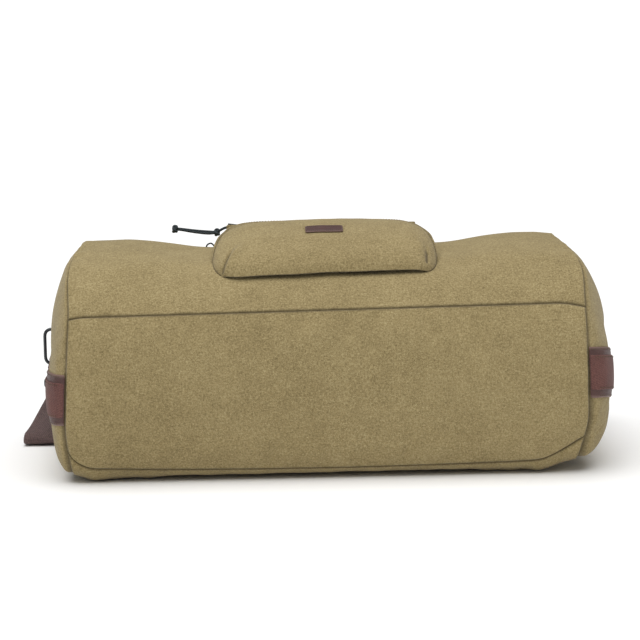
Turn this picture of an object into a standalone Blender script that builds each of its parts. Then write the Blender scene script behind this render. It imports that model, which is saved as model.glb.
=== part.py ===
"""Canvas duffel bag, lying on its back panel, with its base towards -Y and its zipped mouth towards +Y.

Frame: +X along the bag, +Y from the base to the mouth, +Z up from the back panel to the pocket.
The origin is the middle of the face it rests on. Metres throughout. The shapes are drawn with y counted
from the base seam, and hang on one empty that brings the middle of the resting face to the origin.
"""

import math

import bmesh
import bpy
from mathutils import Vector

# ---------------------------------------------------------------- driving dimensions
REST_Y = 0.105          # base seam to the middle of the resting face
GAP = 0.0003            # between neighbouring solids
END_SEAM = 0.0012       # between the tube and an end cap
SKIN = 0.003            # padded canvas wall
LEATHER = 0.002
WEBBING = 0.0022
WEBBING_WIDTH = 0.038
HALF_LENGTH = 0.2495    # base panel, middle to end seam
TOP_SHORTENING = 0.012  # the ends lean in towards the top of the bag
FLOOR_SHORTENING = 0.008
END_REACH = {-1: 0.2713, 1: 0.2775}  # middle of the bag to the crown of each end cap
MIDDLE = Vector((0.122, 0.108))  # (y, z) centre of the end caps

# The cross-section (y, z) in millimetres, from the bottom seam up the base and round.
SECTION = [
    (12, 9), (2, 48), (-2, 90), (3, 132), (14, 166), (43, 196.5), (82, 212), (125, 216.5), (165, 214),
    (196, 205.5), (226, 185), (243, 153), (250, 112), (245, 72), (233, 38), (212, 9), (186, 0),
    (150, 0), (100, 0), (60, 0), (34, 1),
]
BOTTOM_SEAM = 0         # places along SECTION
TOP_SEAM = 4
FRONT_HINGE = 9
MOUTH_Z = 0.112
BACK_HINGE = 14
ZIP_GAP = 0.011         # from the mouth's middle line to the edge of each lip
MOUTH_HALF = 0.222      # half the length of the opening

POCKET_HALF = 0.110
POCKET_NEAR = 0.040
POCKET_FAR = 0.174
POCKET_CORNER = 0.026
POCKET_WALL = 0.0025

BAND_WIDTH = 0.050
# Height of each end band's middle line at distances from the base seam.
BAND_Y = (0.004, 0.010, 0.030, 0.060, 0.100, 0.140, 0.175, 0.205, 0.226)
BAND_Z = {
    -1: (0.0845, 0.0840, 0.0830, 0.0808, 0.0785, 0.0795, 0.0830, 0.0875, 0.0905),
    1: (0.1010, 0.1000, 0.0960, 0.0895, 0.0815, 0.0780, 0.0775, 0.0790, 0.0810),
}
STRAP_SHIFT = 0.0010    # from a ring's bar out to the middle of the strap
HANDLE_X = 0.108        # middle of the bag to the middle of a handle's leg
RING_BARS = {-1: Vector((0.2675, 0.2470, 0.0922)), 1: Vector((0.2625, 0.2545, 0.0830))}
RING_HALF = 0.0190      # half the ring's height, to the middle of the wire
RING_REACH = 0.0208
RING_WIRE = 0.0018
CORD = 0.0013           # radius of the pull cord

# ---------------------------------------------------------------- an empty scene
for old in list(bpy.data.objects):
    bpy.data.objects.remove(old, do_unlink=True)

BAG = bpy.data.collections.new("duffel_bag")
bpy.context.scene.collection.children.link(BAG)


def material(name, colour, roughness, metallic=0.0):
    """A plain Principled material."""
    made = bpy.data.materials.new(name)
    made.use_nodes = True
    shader = made.node_tree.nodes["Principled BSDF"]
    shader.inputs["Base Color"].default_value = (*colour, 1.0)
    shader.inputs["Roughness"].default_value = roughness
    shader.inputs["Metallic"].default_value = metallic
    return made


CANVAS = (0.33, 0.26, 0.13)
BROWN = (0.12, 0.055, 0.045)
LEATHER_BROWN = (0.15, 0.07, 0.055)
BLACK = (0.015, 0.02, 0.023)


# ---------------------------------------------------------------- curves and surfaces
def spline(points, steps, closed=False):
    """Catmull-Rom points through the given vectors."""
    count = len(points)
    spans = count if closed else count - 1
    out = []
    for span in range(spans):
        picks = [span - 1, span, span + 1, span + 2]
        if closed:
            a, b, c, d = (points[i % count] for i in picks)
        else:
            a, b, c, d = (points[min(max(i, 0), count - 1)] for i in picks)
        for step in range(steps):
            t = step / steps
            out.append(0.5 * (2 * b + (c - a) * t + (2 * a - 5 * b + 4 * c - d) * t**2
                              + (3 * b - a - 3 * c + d) * t**3))
    if not closed:
        out.append(points[-1].copy())
    return out


STEPS = 16
OUTLINE = spline([Vector((y / 1000, z / 1000)) for y, z in SECTION], STEPS, closed=True)
for spot in OUTLINE:
    spot.y = max(spot.y, 0.0)


def outline_at(place):
    """The section point at a place counted in SECTION points, fractions allowed."""
    index = place * STEPS
    low = math.floor(index)
    a = OUTLINE[low % len(OUTLINE)]
    b = OUTLINE[(low + 1) % len(OUTLINE)]
    return a.lerp(b, index - low)


def outward(place):
    """The section's outward direction at a place."""
    along = outline_at(place + 0.05) - outline_at(place - 0.05)
    return Vector((-along.y, along.x)).normalized() if along.length else Vector((0, 1))


def shift(place, distance):
    """The place that lies a distance further along the section."""
    step = 0.01 if distance > 0 else -0.01
    here = outline_at(place)
    walked = 0.0
    while walked < abs(distance):
        place += step
        there = outline_at(place)
        walked += (there - here).length
        here = there
    return place


def place_at_height(start, z):
    """Walk on from a place until the section reaches a height on its way down."""
    while outline_at(start).y > z:
        start += 0.005
    return start


def end_x(z):
    """Half the length of the bag's tube at a height."""
    top = min(max((z - 0.155) / 0.065, 0.0), 1.0)
    low = min(max((0.030 - z) / 0.030, 0.0), 1.0)
    return HALF_LENGTH - TOP_SHORTENING * top**1.5 - FLOOR_SHORTENING * low**1.5


def grid_object(name, rows, look):
    """An open sheet from rows of points, every row as long as the others."""
    mesh = bpy.data.meshes.new(name)
    bm = bmesh.new()
    made = [[bm.verts.new(p) for p in row] for row in rows]
    for upper, lower in zip(made, made[1:]):
        for i in range(len(upper) - 1):
            bm.faces.new((upper[i], upper[i + 1], lower[i + 1], lower[i]))
    bm.to_mesh(mesh)
    bm.free()
    mesh.materials.append(material(name, *look))
    obj = bpy.data.objects.new(name, mesh)
    BAG.objects.link(obj)
    return obj


def thicken(obj, thickness, offset=-1.0):
    """Solidify to a closed wall; offset -1 keeps the sheet as the outer face."""
    wall = obj.modifiers.new("wall", "SOLIDIFY")
    wall.thickness = thickness
    wall.offset = offset
    return obj


def finish(name, bm, look):
    """Write a bmesh to a new object in the bag's collection."""
    bmesh.ops.recalc_face_normals(bm, faces=bm.faces)
    mesh = bpy.data.meshes.new(name)
    bm.to_mesh(mesh)
    bm.free()
    mesh.materials.append(material(name, *look))
    obj = bpy.data.objects.new(name, mesh)
    BAG.objects.link(obj)
    return obj


def box(name, low, high, look, bevel=0.0):
    """A box between two corners, with its edges rounded if asked."""
    low = Vector(low)
    high = Vector(high)
    bm = bmesh.new()
    bmesh.ops.create_cube(bm, size=1.0)
    size = high - low
    bmesh.ops.scale(bm, vec=size, verts=bm.verts)
    obj = finish(name, bm, look)
    obj.location = (low + high) / 2
    if bevel:
        edge = obj.modifiers.new("edge", "BEVEL")
        edge.width = bevel
        edge.segments = 2
    return obj


def ball(name, centre, size, look):
    """An ellipsoid with the given full sizes along X, Y and Z."""
    bm = bmesh.new()
    bmesh.ops.create_uvsphere(bm, u_segments=12, v_segments=8, radius=0.5)
    bmesh.ops.scale(bm, vec=size, verts=bm.verts)
    obj = finish(name, bm, look)
    obj.location = centre
    return obj


def wire(name, points, radius, look, closed=False):
    """A round wire or cord through the given points, exactly as listed."""
    curve = bpy.data.curves.new(name, "CURVE")
    curve.dimensions = "3D"
    curve.bevel_depth = radius
    curve.bevel_resolution = 2
    curve.use_fill_caps = not closed
    line = curve.splines.new("POLY")
    line.points.add(len(points) - 1)
    for point, place in zip(line.points, points):
        point.co = (*place, 1.0)
    line.use_cyclic_u = closed
    curve.materials.append(material(name, *look))
    obj = bpy.data.objects.new(name, curve)
    BAG.objects.link(obj)
    return obj


def ribbon(name, points, facing, width, thickness, look, steps=6):
    """Flat webbing swept through points; facing is the way its flat side looks at each point."""
    path = spline([Vector(p) for p in points], steps)
    looks_to = spline([Vector(f) for f in facing], steps)
    bm = bmesh.new()
    rings = []
    for i, here in enumerate(path):
        along = (path[min(i + 1, len(path) - 1)] - path[max(i - 1, 0)]).normalized()
        normal = looks_to[i] - along * looks_to[i].dot(along)
        normal.normalize()
        side = along.cross(normal) * width / 2
        lift = normal * thickness / 2
        corners = (side + lift, side - lift, -side - lift, -side + lift)
        rings.append([bm.verts.new(here + corner) for corner in corners])
    for a, b in zip(rings, rings[1:]):
        for i in range(4):
            bm.faces.new((a[i], a[(i + 1) % 4], b[(i + 1) % 4], b[i]))
    bm.faces.new(rings[0])
    bm.faces.new(reversed(rings[-1]))
    return finish(name, bm, look)


# ---------------------------------------------------------------- the tube's panels
def panel(name, start, end, pieces, half=None, columns=6):
    """A strip of the tube between two places along the section, as a closed wall."""
    edge = 0.03
    places = [start, start + edge]
    places += [start + (end - start) * i / pieces for i in range(1, pieces)]
    places += [end - edge, end]
    rows = []
    for place in places:
        spot = outline_at(place)
        reach = half if half else end_x(spot.y)
        rows.append([Vector((reach * (2 * i / columns - 1), spot.x, spot.y)) for i in range(columns + 1)])
    return thicken(grid_object(name, rows, (CANVAS, 0.9)), SKIN)


def gusset(side, start, end):
    """The short stretch of the tube between the mouth and an end cap."""
    name = "mouth_gusset_left" if side < 0 else "mouth_gusset_right"
    rows = []
    edge = 0.03
    count = 14
    places = [start, start + edge] + [start + (end - start) * i / count for i in range(1, count)]
    places += [end - edge, end]
    for place in places:
        spot = outline_at(place)
        inner = side * (MOUTH_HALF + GAP)
        outer = side * end_x(spot.y)
        xs = (inner, outer) if side > 0 else (outer, inner)
        rows.append([Vector((x, spot.x, spot.y)) for x in xs])
    return thicken(grid_object(name, rows, (CANVAS, 0.9)), SKIN)


def radius_towards(direction):
    """Distance from the end cap's middle to the section in a direction."""
    best = max(OUTLINE, key=lambda p: (p - MIDDLE).normalized().dot(direction))
    return (best - MIDDLE).length


def dome_x(side, y, z):
    """How far out the cap on one side stands at (y, z)."""
    arm = Vector((y, z)) - MIDDLE
    if arm.length < 1e-6:
        return END_REACH[side]
    ratio = min(arm.length / radius_towards(arm.normalized()), 1.0)
    rim = MIDDLE + arm / ratio
    start = end_x(rim.y)
    return start + (END_REACH[side] - start) * math.sqrt(1 - ratio**4)


def end_cap(side):
    """A domed end, from the tube's end seam out to its crown."""
    name = "end_cap_left" if side < 0 else "end_cap_right"
    around = [outline_at(i * len(SECTION) / 40) for i in range(40)]
    rings = [(1.0, 0.0, 0.0), (1.0, 0.0, 0.002)]
    for i in range(1, 8):
        turn = math.radians(90 * i / 8)
        rings.append((math.sqrt(math.cos(turn)), math.sin(turn), 0.002))
    bm = bmesh.new()
    loops = []
    for scale, rise, lip in rings:
        loop = []
        for spot in around:
            start = end_x(spot.y) + END_SEAM + lip
            x = start + (END_REACH[side] - start) * rise
            flat = MIDDLE + (spot - MIDDLE) * scale
            loop.append(bm.verts.new((side * x, flat.x, flat.y)))
        loops.append(loop)
    for a, b in zip(loops, loops[1:]):
        for i in range(len(a)):
            j = (i + 1) % len(a)
            quad = (a[i], a[j], b[j], b[i])
            bm.faces.new(quad if side < 0 else quad[::-1])
    crown = bm.verts.new((side * END_REACH[side], MIDDLE.x, MIDDLE.y))
    last = loops[-1]
    for i in range(len(last)):
        trio = (last[i], last[(i + 1) % len(last)], crown)
        bm.faces.new(trio if side < 0 else trio[::-1])
    mesh = bpy.data.meshes.new(name)
    bm.to_mesh(mesh)
    bm.free()
    mesh.materials.append(material(name, CANVAS, 0.9))
    obj = bpy.data.objects.new(name, mesh)
    BAG.objects.link(obj)
    return thicken(obj, SKIN)


def shell():
    """The tube, the two lips of the mouth and the end caps."""
    half_gap = GAP / 2
    total = len(SECTION)
    base_top = shift(TOP_SEAM, -half_gap)
    panel("base_panel", shift(BOTTOM_SEAM, half_gap), base_top, 8)
    panel("front_panel", shift(TOP_SEAM, half_gap), shift(FRONT_HINGE, -half_gap), 12)
    panel("back_panel", shift(BACK_HINGE, half_gap), shift(total, -half_gap), 16)
    lip_end = place_at_height(10.0, MOUTH_Z + ZIP_GAP)
    panel("mouth_flap_front", shift(FRONT_HINGE, half_gap), lip_end, 8, half=MOUTH_HALF)
    lip_start = place_at_height(12.0, MOUTH_Z - ZIP_GAP)
    panel("mouth_flap_back", lip_start, shift(BACK_HINGE, -half_gap), 4, half=MOUTH_HALF)
    for side in (-1, 1):
        gusset(side, shift(FRONT_HINGE, half_gap), shift(BACK_HINGE, -half_gap))
        end_cap(side)
    box("base_board", (-0.232, 0.0130, 0.024), (0.232, 0.0155, 0.142), ((0.02, 0.02, 0.02), 0.6))


# ---------------------------------------------------------------- the mouth's zip
ZIP_Y = 0.2462
TAPE = 0.0010


def mouth_zip():
    """Tape and coil on each lip, the slider, its cord pull and the leather end tabs."""
    reach = 0.017
    for part, sign in (("front", 1), ("back", -1)):
        near = MOUTH_Z + sign * 0.0006
        far = MOUTH_Z + sign * reach
        box(f"zip_tape_{part}", (-MOUTH_HALF, ZIP_Y - TAPE - SKIN, min(near, far)),
            (MOUTH_HALF, ZIP_Y - SKIN, max(near, far)), (BROWN, 0.9))
        coil = MOUTH_Z + sign * 0.0026
        box(f"zip_coil_{part}", (-MOUTH_HALF, ZIP_Y - SKIN + GAP, coil - 0.0017),
            (MOUTH_HALF, ZIP_Y - SKIN + 0.0028, coil + 0.0017), (BLACK, 0.5), bevel=0.0006)
    slide = -0.232
    top = 0.2526
    box("main_zip_slider", (slide - 0.008, top - 0.0024, MOUTH_Z - 0.0055),
        (slide + 0.008, top, MOUTH_Z + 0.0055), (BLACK, 0.35, 0.8), bevel=0.0007)
    hang = top + 0.0022
    pull_cord("main", [(slide, hang, MOUTH_Z - 0.0062), (slide - 0.001, hang + 0.002, MOUTH_Z - 0.020),
                       (slide - 0.001, hang + 0.003, MOUTH_Z - 0.034)],
              (slide - 0.001, hang + 0.003, MOUTH_Z - 0.064))
    for side in (-1, 1):
        name = "zip_stop_left" if side < 0 else "zip_stop_right"
        inner = side * 0.2412
        outer = side * 0.2472
        box(name, (min(inner, outer), 0.2506, MOUTH_Z - 0.014),
            (max(inner, outer), 0.2506 + LEATHER - 0.0004, MOUTH_Z + 0.014), (LEATHER_BROWN, 0.6))


def pull_cord(kind, route, finish_at):
    """A cord from a slider to a knot, doubled beyond it as far as the end knot."""
    points = [Vector(p) for p in route]
    wire(f"{kind}_pull_cord", spline(points, 4), CORD, (BLACK, 0.7))
    knot = points[-1] + (points[-1] - points[-2]).normalized() * 0.0040
    ball(f"{kind}_pull_knot", knot, (0.0074, 0.0074, 0.0074), (BLACK, 0.7))
    away = (Vector(finish_at) - knot).normalized()
    start = knot + away * 0.0041
    tail = [start.lerp(Vector(finish_at), i / 4) for i in range(5)]
    wire(f"{kind}_pull_tail", tail, CORD * 1.6, (BLACK, 0.7))
    ball(f"{kind}_pull_end", tail[-1] + away * 0.0046, (0.0084, 0.0076, 0.0076), (BLACK, 0.7))


# ---------------------------------------------------------------- the front pocket
def surface_z(y):
    """Height of the front panel's outside at a distance from the base."""
    place = TOP_SEAM
    while outline_at(place).x < y:
        place += 0.01
    return outline_at(place).y


def ease(t):
    """A smooth step from 0 to 1."""
    t = min(max(t, 0.0), 1.0)
    return t * t * (3 - 2 * t)


def pocket_edge(y):
    """How high the pocket's side wall stands above the front panel."""
    return 0.0016 + 0.0130 * ease((y - POCKET_NEAR) / 0.070)


def pocket_top(x, y):
    """Height of the pocket's front above the floor."""
    across = min(abs(x) / POCKET_HALF, 1.0)
    along = min(max((y - POCKET_NEAR) / (POCKET_FAR - POCKET_NEAR), 0.0), 1.0)
    puff = 0.0045 * (1 - across**4) * math.sin(math.pi * min(along * 1.5, 1.0) / 2) ** 0.7
    return surface_z(y) + pocket_edge(y) + puff - 0.002 * (1 - across**4) * along**4


def pocket_half(y):
    """Half the pocket's width, less near its rounded lower corners."""
    back = y - POCKET_NEAR
    if back >= POCKET_CORNER:
        return POCKET_HALF
    short = POCKET_CORNER - back
    return POCKET_HALF - POCKET_CORNER + math.sqrt(max(POCKET_CORNER**2 - short**2, 0.0))


def pocket():
    """Side wall, puffed front, zip, label and cord loop of the pocket."""
    wall_path = []
    start = POCKET_NEAR + 0.014
    for i in range(6):
        y = start + (POCKET_FAR - 0.012 - start) * i / 5
        wall_path.append(Vector((-pocket_half(y) + POCKET_WALL / 2, y)))
    for i in range(1, 5):
        turn = math.radians(90 * i / 5)
        reach = 0.012
        wall_path.append(Vector((-POCKET_HALF + reach + POCKET_WALL / 2 - reach * math.cos(turn),
                                 POCKET_FAR - 0.012 + reach * math.sin(turn))))
    mirrored = [Vector((-p.x, p.y)) for p in reversed(wall_path)]
    wall_path.append(Vector((-0.06, POCKET_FAR)))
    wall_path.append(Vector((0.0, POCKET_FAR)))
    wall_path.append(Vector((0.06, POCKET_FAR)))
    wall_path += mirrored
    rows = [[], []]
    for spot in wall_path:
        base = surface_z(spot.y) + 0.0008
        rows[0].append(Vector((spot.x, spot.y, base)))
        rows[1].append(Vector((spot.x, spot.y, surface_z(spot.y) + pocket_edge(spot.y) - 0.0012)))
    thicken(grid_object("pocket_gusset", rows, (CANVAS, 0.9)), POCKET_WALL, offset=0.0)

    columns = 16
    sheet = []
    for i in range(13):
        t = i / 12
        y = POCKET_NEAR + (POCKET_FAR - POCKET_NEAR) * (1 - math.cos(math.pi * t / 2) if t < 1 else 1.0)
        half = pocket_half(y)
        row = []
        for j in range(columns + 1):
            x = half * math.sin(math.pi / 2 * (2 * j / columns - 1))
            row.append(Vector((x, y, pocket_top(x, y) + 0.0030)))
        sheet.append(row)
    lid = grid_object("pocket_front", [row[::-1] for row in sheet][::-1], (CANVAS, 0.9))
    thicken(lid, 0.0025)

    zip_z = surface_z(POCKET_FAR) + 0.0110
    far = POCKET_FAR + POCKET_WALL / 2 + GAP
    box("pocket_zip_tape", (-0.096, far, zip_z - 0.0055), (0.096, far + 0.0008, zip_z + 0.0035),
        (CANVAS, 0.9))
    box("pocket_zip_coil", (-0.096, far + 0.0008 + GAP, zip_z - 0.0015),
        (0.096, far + 0.0030, zip_z + 0.0015), (BROWN, 0.5))
    back = far + 0.0030 + GAP
    box("pocket_zip_slider", (-0.0945, back, zip_z - 0.0045), (-0.0825, back + 0.0022, zip_z + 0.0045),
        (BLACK, 0.35, 0.8), bevel=0.0007)
    pull_cord("pocket", [(-0.0955, back + 0.0038, zip_z + 0.0005), (-0.0985, back + 0.0050, zip_z - 0.001),
                         (-0.1021, back + 0.0060, zip_z - 0.003)], (-0.1436, back + 0.0060, zip_z - 0.0010))
    left = -POCKET_HALF - POCKET_WALL / 2 - GAP
    z = surface_z(0.150) + 0.0045
    loop = spline([Vector((left - 0.0010, 0.150, z + 0.003)), Vector((left - 0.0070, 0.150, z + 0.0065)),
                   Vector((left - 0.0095, 0.150, z + 0.003)), Vector((left - 0.0060, 0.150, z - 0.002)),
                   Vector((left - 0.0012, 0.150, z - 0.004))], 4)
    wire("pocket_zip_loop", loop, 0.0008, (BLACK, 0.7))
    label_y = 0.087
    slope = (pocket_top(0, label_y + 0.004) - pocket_top(0, label_y - 0.004)) / 0.008
    label = box("pocket_label", (-0.0186, -0.0065, -0.0007), (0.0186, 0.0065, 0.0007), (LEATHER_BROWN, 0.6))
    label.location = (-0.0003, label_y, pocket_top(0, label_y) + 0.0030 + 0.0016)
    label.rotation_euler = (math.atan(slope), 0, 0)


# ---------------------------------------------------------------- bands, rings and strap
def side_name(stem, side):
    """left is -X and right is +X."""
    return f"{stem}_left" if side < 0 else f"{stem}_right"


def end_bands():
    """A leather band across each end with webbing on it, folded round a ring at the mouth end."""
    for side in (-1, 1):
        for stem, width, height, clear, look in (("end_band", BAND_WIDTH, LEATHER, 0.0031, LEATHER_BROWN),
                                                 ("end_webbing", WEBBING_WIDTH, WEBBING, 0.0059, BROWN)):
            points = []
            facing = []
            for y, z in zip(BAND_Y, BAND_Z[side]):
                slope = (dome_x(side, y + 0.004, z) - dome_x(side, y - 0.004, z)) / 0.008
                normal = Vector((1.0, -slope, 0.0)).normalized()
                spot = Vector((dome_x(side, y, z), y, z)) + normal * clear
                points.append((side * spot.x, spot.y, spot.z))
                facing.append((side * normal.x, normal.y, 0.0))
            ribbon(side_name(stem, side), points, facing, width, height, (look, 0.7), steps=3)
        bar = RING_BARS[side]
        ring(side, Vector((side * bar.x, bar.y, bar.z)))


def ring(side, bar):
    """The wire ring and the webbing keeper that holds its straight bar."""
    height = RING_HALF
    reach = RING_REACH
    corner = 0.008
    rim = []
    corners = ((0.0, -height, 180), (reach, -height, 270), (reach, height, 0), (0.0, height, 90))
    for x, z, turn in corners:
        inner_x = x + (corner if x == 0 else -corner)
        inner_z = z + (corner if z < 0 else -corner)
        for i in range(5):
            angle = math.radians(turn + 90 * i / 4)
            rim.append(Vector((side * (inner_x + corner * math.cos(angle)), 0.0,
                               inner_z + corner * math.sin(angle))))
    obj = wire(side_name("dring", side), rim, RING_WIRE, (BLACK, 0.3, 1.0), closed=True)
    obj.location = bar
    inner = RING_WIRE + 0.0006
    outer = inner + WEBBING
    bm = bmesh.new()
    loops = []
    for z in (-0.013, 0.013):
        for radius in (inner, outer):
            loops.append([bm.verts.new((radius * math.cos(math.tau * i / 16),
                                        radius * math.sin(math.tau * i / 16), z)) for i in range(16)])
    low_in, low_out, high_in, high_out = loops
    for a, b in ((low_out, high_out), (high_out, high_in), (high_in, low_in), (low_in, low_out)):
        for i in range(16):
            j = (i + 1) % 16
            bm.faces.new((a[i], a[j], b[j], b[i]))
    keeper = finish(side_name("dring_keeper", side), bm, (BROWN, 0.9))
    keeper.location = bar


def snap_hook(side):
    """A closed hook over the ring's lower arm, a swivel and the eye that the strap is sewn to."""
    arm_z = RING_BARS[side].z - RING_HALF
    x = side * (RING_BARS[side].x + 0.0105)
    y = RING_BARS[side].y
    centre = Vector((x, y, arm_z - 0.0034))
    rim = [centre + Vector((0.0, 0.0072 * math.sin(math.tau * i / 20), 0.0072 * math.cos(math.tau * i / 20)))
           for i in range(20)]
    wire(side_name("strap_hook", side), rim, 0.0018, (BLACK, 0.3, 1.0), closed=True)
    eye_z = arm_z - 0.0220
    eye_x = side * (RING_BARS[side].x + STRAP_SHIFT)
    half = 0.0215
    height = 0.0045
    corner = 0.003
    bar = []
    for sx, sz, turn in ((-1, -1, 180), (1, -1, 270), (1, 1, 0), (-1, 1, 90)):
        for i in range(3):
            angle = math.radians(turn + 45 * i)
            bar.append(Vector((eye_x + sx * (half - corner) + corner * math.cos(angle), y + 0.010,
                               eye_z + sz * (height - corner) + corner * math.sin(angle))))
    wire(side_name("strap_eye", side), bar, 0.0016, (BLACK, 0.3, 1.0), closed=True)
    box(side_name("strap_swivel", side), (x - 0.003, y + 0.0005, eye_z + height + 0.0019),
        (x + 0.003, y + 0.0105, arm_z - 0.0034 - 0.0093), (BLACK, 0.3, 1.0), bevel=0.0008)


def strap():
    """The shoulder strap: from one ring to the floor, round behind the bag and up to the other."""
    snap_hook(-1)
    snap_hook(1)
    low = WEBBING / 2 + GAP
    start = {side: RING_BARS[side].z - RING_HALF - 0.0320 for side in (-1, 1)}
    x = -RING_BARS[-1].x - STRAP_SHIFT
    y = RING_BARS[-1].y + 0.010
    path = [(x, y, start[-1]), (x, y - 0.002, start[-1] - 0.006), (x - 0.006, y - 0.020, 0.0285),
            (x - 0.015, y - 0.048, 0.0185), (x - 0.021, y - 0.071, 0.0085), (x - 0.0215, y - 0.071, 0.0030),
            (x - 0.021, y - 0.050, low + 0.0002), (x - 0.018, 0.290, low), (x - 0.004, 0.372, low),
            (x + 0.050, 0.428, low), (x + 0.130, 0.452, low), (0.0, 0.460, low)]
    faces = [(0, -1, 0), (0, -1, 0.1), (-0.1, -1, 0.6), (-0.2, -0.7, 0.8), (-0.1, -1, 0.1), (0, -0.8, -0.8)]
    faces += [(0, 0, -1)] * 6
    x = RING_BARS[1].x + STRAP_SHIFT
    y = RING_BARS[1].y + 0.010
    path += [(x - 0.130, 0.452, low), (x - 0.062, 0.428, low), (x - 0.024, 0.380, low), (x - 0.012, 0.330, low),
             (x - 0.010, y + 0.040, low + 0.0004), (x - 0.009, y + 0.022, 0.0055), (x - 0.005, y + 0.008, 0.0150),
             (x, y, start[1] - 0.008), (x, y, start[1])]
    faces += [(0, 0, -1)] * 5 + [(0, -0.7, -1), (0, -1, -0.4), (0, -1, 0), (0, -1, 0)]
    ribbon("strap_webbing", path, faces, WEBBING_WIDTH, WEBBING, (BROWN, 0.9), steps=4)
    adjuster(0.060, 0.4585, low)


def adjuster(x, y, z):
    """A three-bar slide round the strap: a flat frame of wire above and below the webbing."""
    half = WEBBING_WIDTH / 2 + 0.0036
    lift = WEBBING / 2 + GAP + 0.0014
    rim = [(x - 0.012, y - half), (x + 0.012, y - half), (x + 0.012, y + half), (x - 0.012, y + half)]
    wire("strap_adjuster", [Vector((px, py, z + lift + 0.0006)) for px, py in rim], 0.0013,
         (BLACK, 0.3, 1.0), closed=True)


# ---------------------------------------------------------------- carry handles
def handles():
    """Two webbing carry handles by the mouth, with a leather patch at each foot."""
    front_foot = Vector((0.0, 0.2500, 0.1500))
    drop = 0.118
    plane = 0.2690
    arc = []
    for i in range(9):
        turn = math.radians(180 * i / 8)
        arc.append(Vector((-HANDLE_X * math.cos(turn), plane, 0.118 - 0.092 * math.sin(turn))))
    points = [Vector((-HANDLE_X, front_foot.y + 0.0035, front_foot.z)),
              Vector((-HANDLE_X, 0.2620, 0.1440)), Vector((-HANDLE_X, plane - 0.0010, 0.1320))]
    mirrored = [Vector((-p.x, p.y, p.z)) for p in reversed(points)]
    facing = [Vector((0, 0.5, 1)), Vector((0, 1, 0.6)), Vector((0, 1, 0.1))]
    faces = facing + [Vector((0, 1, 0))] * len(arc) + facing[::-1]
    ribbon("handle_front", points + arc + mirrored, faces, 0.030, WEBBING, (BROWN, 0.9), steps=3)
    low = WEBBING / 2 + GAP
    flat = []
    for i in range(9):
        turn = math.radians(180 * i / 8)
        flat.append(Vector((-HANDLE_X * math.cos(turn), 0.294 + 0.098 * math.sin(turn), low)))
    points = [Vector((-HANDLE_X, 0.2400, 0.0100)), Vector((-HANDLE_X, 0.2520, 0.0040)),
              Vector((-HANDLE_X, 0.2680, low))]
    mirrored = [Vector((-p.x, p.y, p.z)) for p in reversed(points)]
    facing = [Vector((0, 0.6, 1)), Vector((0, 0.3, 1)), Vector((0, 0, 1))]
    faces = facing + [Vector((0, 0, 1))] * len(flat) + facing[::-1]
    ribbon("handle_back", points + flat + mirrored, faces, 0.030, WEBBING, (BROWN, 0.9), steps=3)
    for side in (-1, 1):
        x = side * HANDLE_X
        for part, places in (("front", (9.75, 10.25, 10.75, 11.1)), ("back", (14.08, 14.36, 14.66, 14.95))):
            points = []
            facing = []
            for place in places:
                spot = outline_at(place)
                normal = outward(place)
                out = spot + normal * (LEATHER / 2 + 0.0010)
                points.append((x, out.x, out.y))
                facing.append((0.0, normal.x, normal.y))
            ribbon(side_name(f"handle_patch_{part}", side), points, facing, 0.044, LEATHER,
                   (LEATHER_BROWN, 0.6), steps=3)


# ---------------------------------------------------------------- what moves, and about what
def empty(name, place, parent=None):
    """A pivot or frame for other objects."""
    made = bpy.data.objects.new(name, None)
    made.empty_display_size = 0.02
    made.parent = parent
    made.location = place
    BAG.objects.link(made)
    return made


def hang_on(pivot, children):
    """Parent objects to a pivot without moving them."""
    for name in children:
        child = bpy.data.objects[name]
        child.parent = pivot
        child.location = child.location - pivot.location


def pivots():
    """One empty on each joint's axis, and the rest of the bag on the frame."""
    frame = empty("frame", (0.0, -REST_Y, 0.0))
    front = outline_at(FRONT_HINGE)
    back = outline_at(BACK_HINGE)
    cord = ("pull_cord", "pull_knot", "pull_tail", "pull_end")
    groups = [
        ("mouth_front", (0.0, front.x, front.y),
         ["mouth_flap_front", "zip_tape_front", "zip_coil_front", "handle_patch_front_left",
          "handle_patch_front_right"]),
        ("mouth_back", (0.0, back.x, back.y), ["mouth_flap_back", "zip_tape_back", "zip_coil_back"]),
        ("main_zip_slide", (-0.232, 0.2514, MOUTH_Z),
         ["main_zip_slider"] + [f"main_{piece}" for piece in cord]),
        ("pocket_zip_slide", (-0.0885, 0.1800, 0.2220),
         ["pocket_zip_slider"] + [f"pocket_{piece}" for piece in cord]),
        ("pocket_lip", (0.0, POCKET_NEAR, surface_z(POCKET_NEAR) + 0.0010), ["pocket_front", "pocket_label"]),
        ("handle_front_hinge", (0.0, 0.2510, 0.1500), ["handle_front"]),
        ("handle_back_hinge", (0.0, 0.2385, 0.0095), ["handle_back"]),
        ("dring_left_hinge", (-RING_BARS[-1].x, RING_BARS[-1].y, RING_BARS[-1].z), ["dring_left"]),
        ("dring_right_hinge", tuple(RING_BARS[1]), ["dring_right"]),
        ("adjuster_slide", (0.060, 0.4585, 0.0030), ["strap_adjuster"]),
    ]
    moving = set()
    for name, place, children in groups:
        hang_on(empty(name, place, frame), children)
        moving.update(children)
    for obj in BAG.objects:
        if obj.type != "EMPTY" and obj.name not in moving:
            obj.parent = frame


shell()
mouth_zip()
pocket()
end_bands()
strap()
handles()
pivots()
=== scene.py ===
# %% [markdown]
# A canvas duffel bag lies on its back panel. Its base faces us, the zipped pocket is on top, and the
# mouth, the handles and most of the strap are behind. The imported frame holds the hard facts: sizes,
# seams, rings and the axes that things turn on. This lesson dresses that frame in canvas, leather,
# webbing, cord and metal. It starts by loading the frame.

# %% Load the frame
import math

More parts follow.
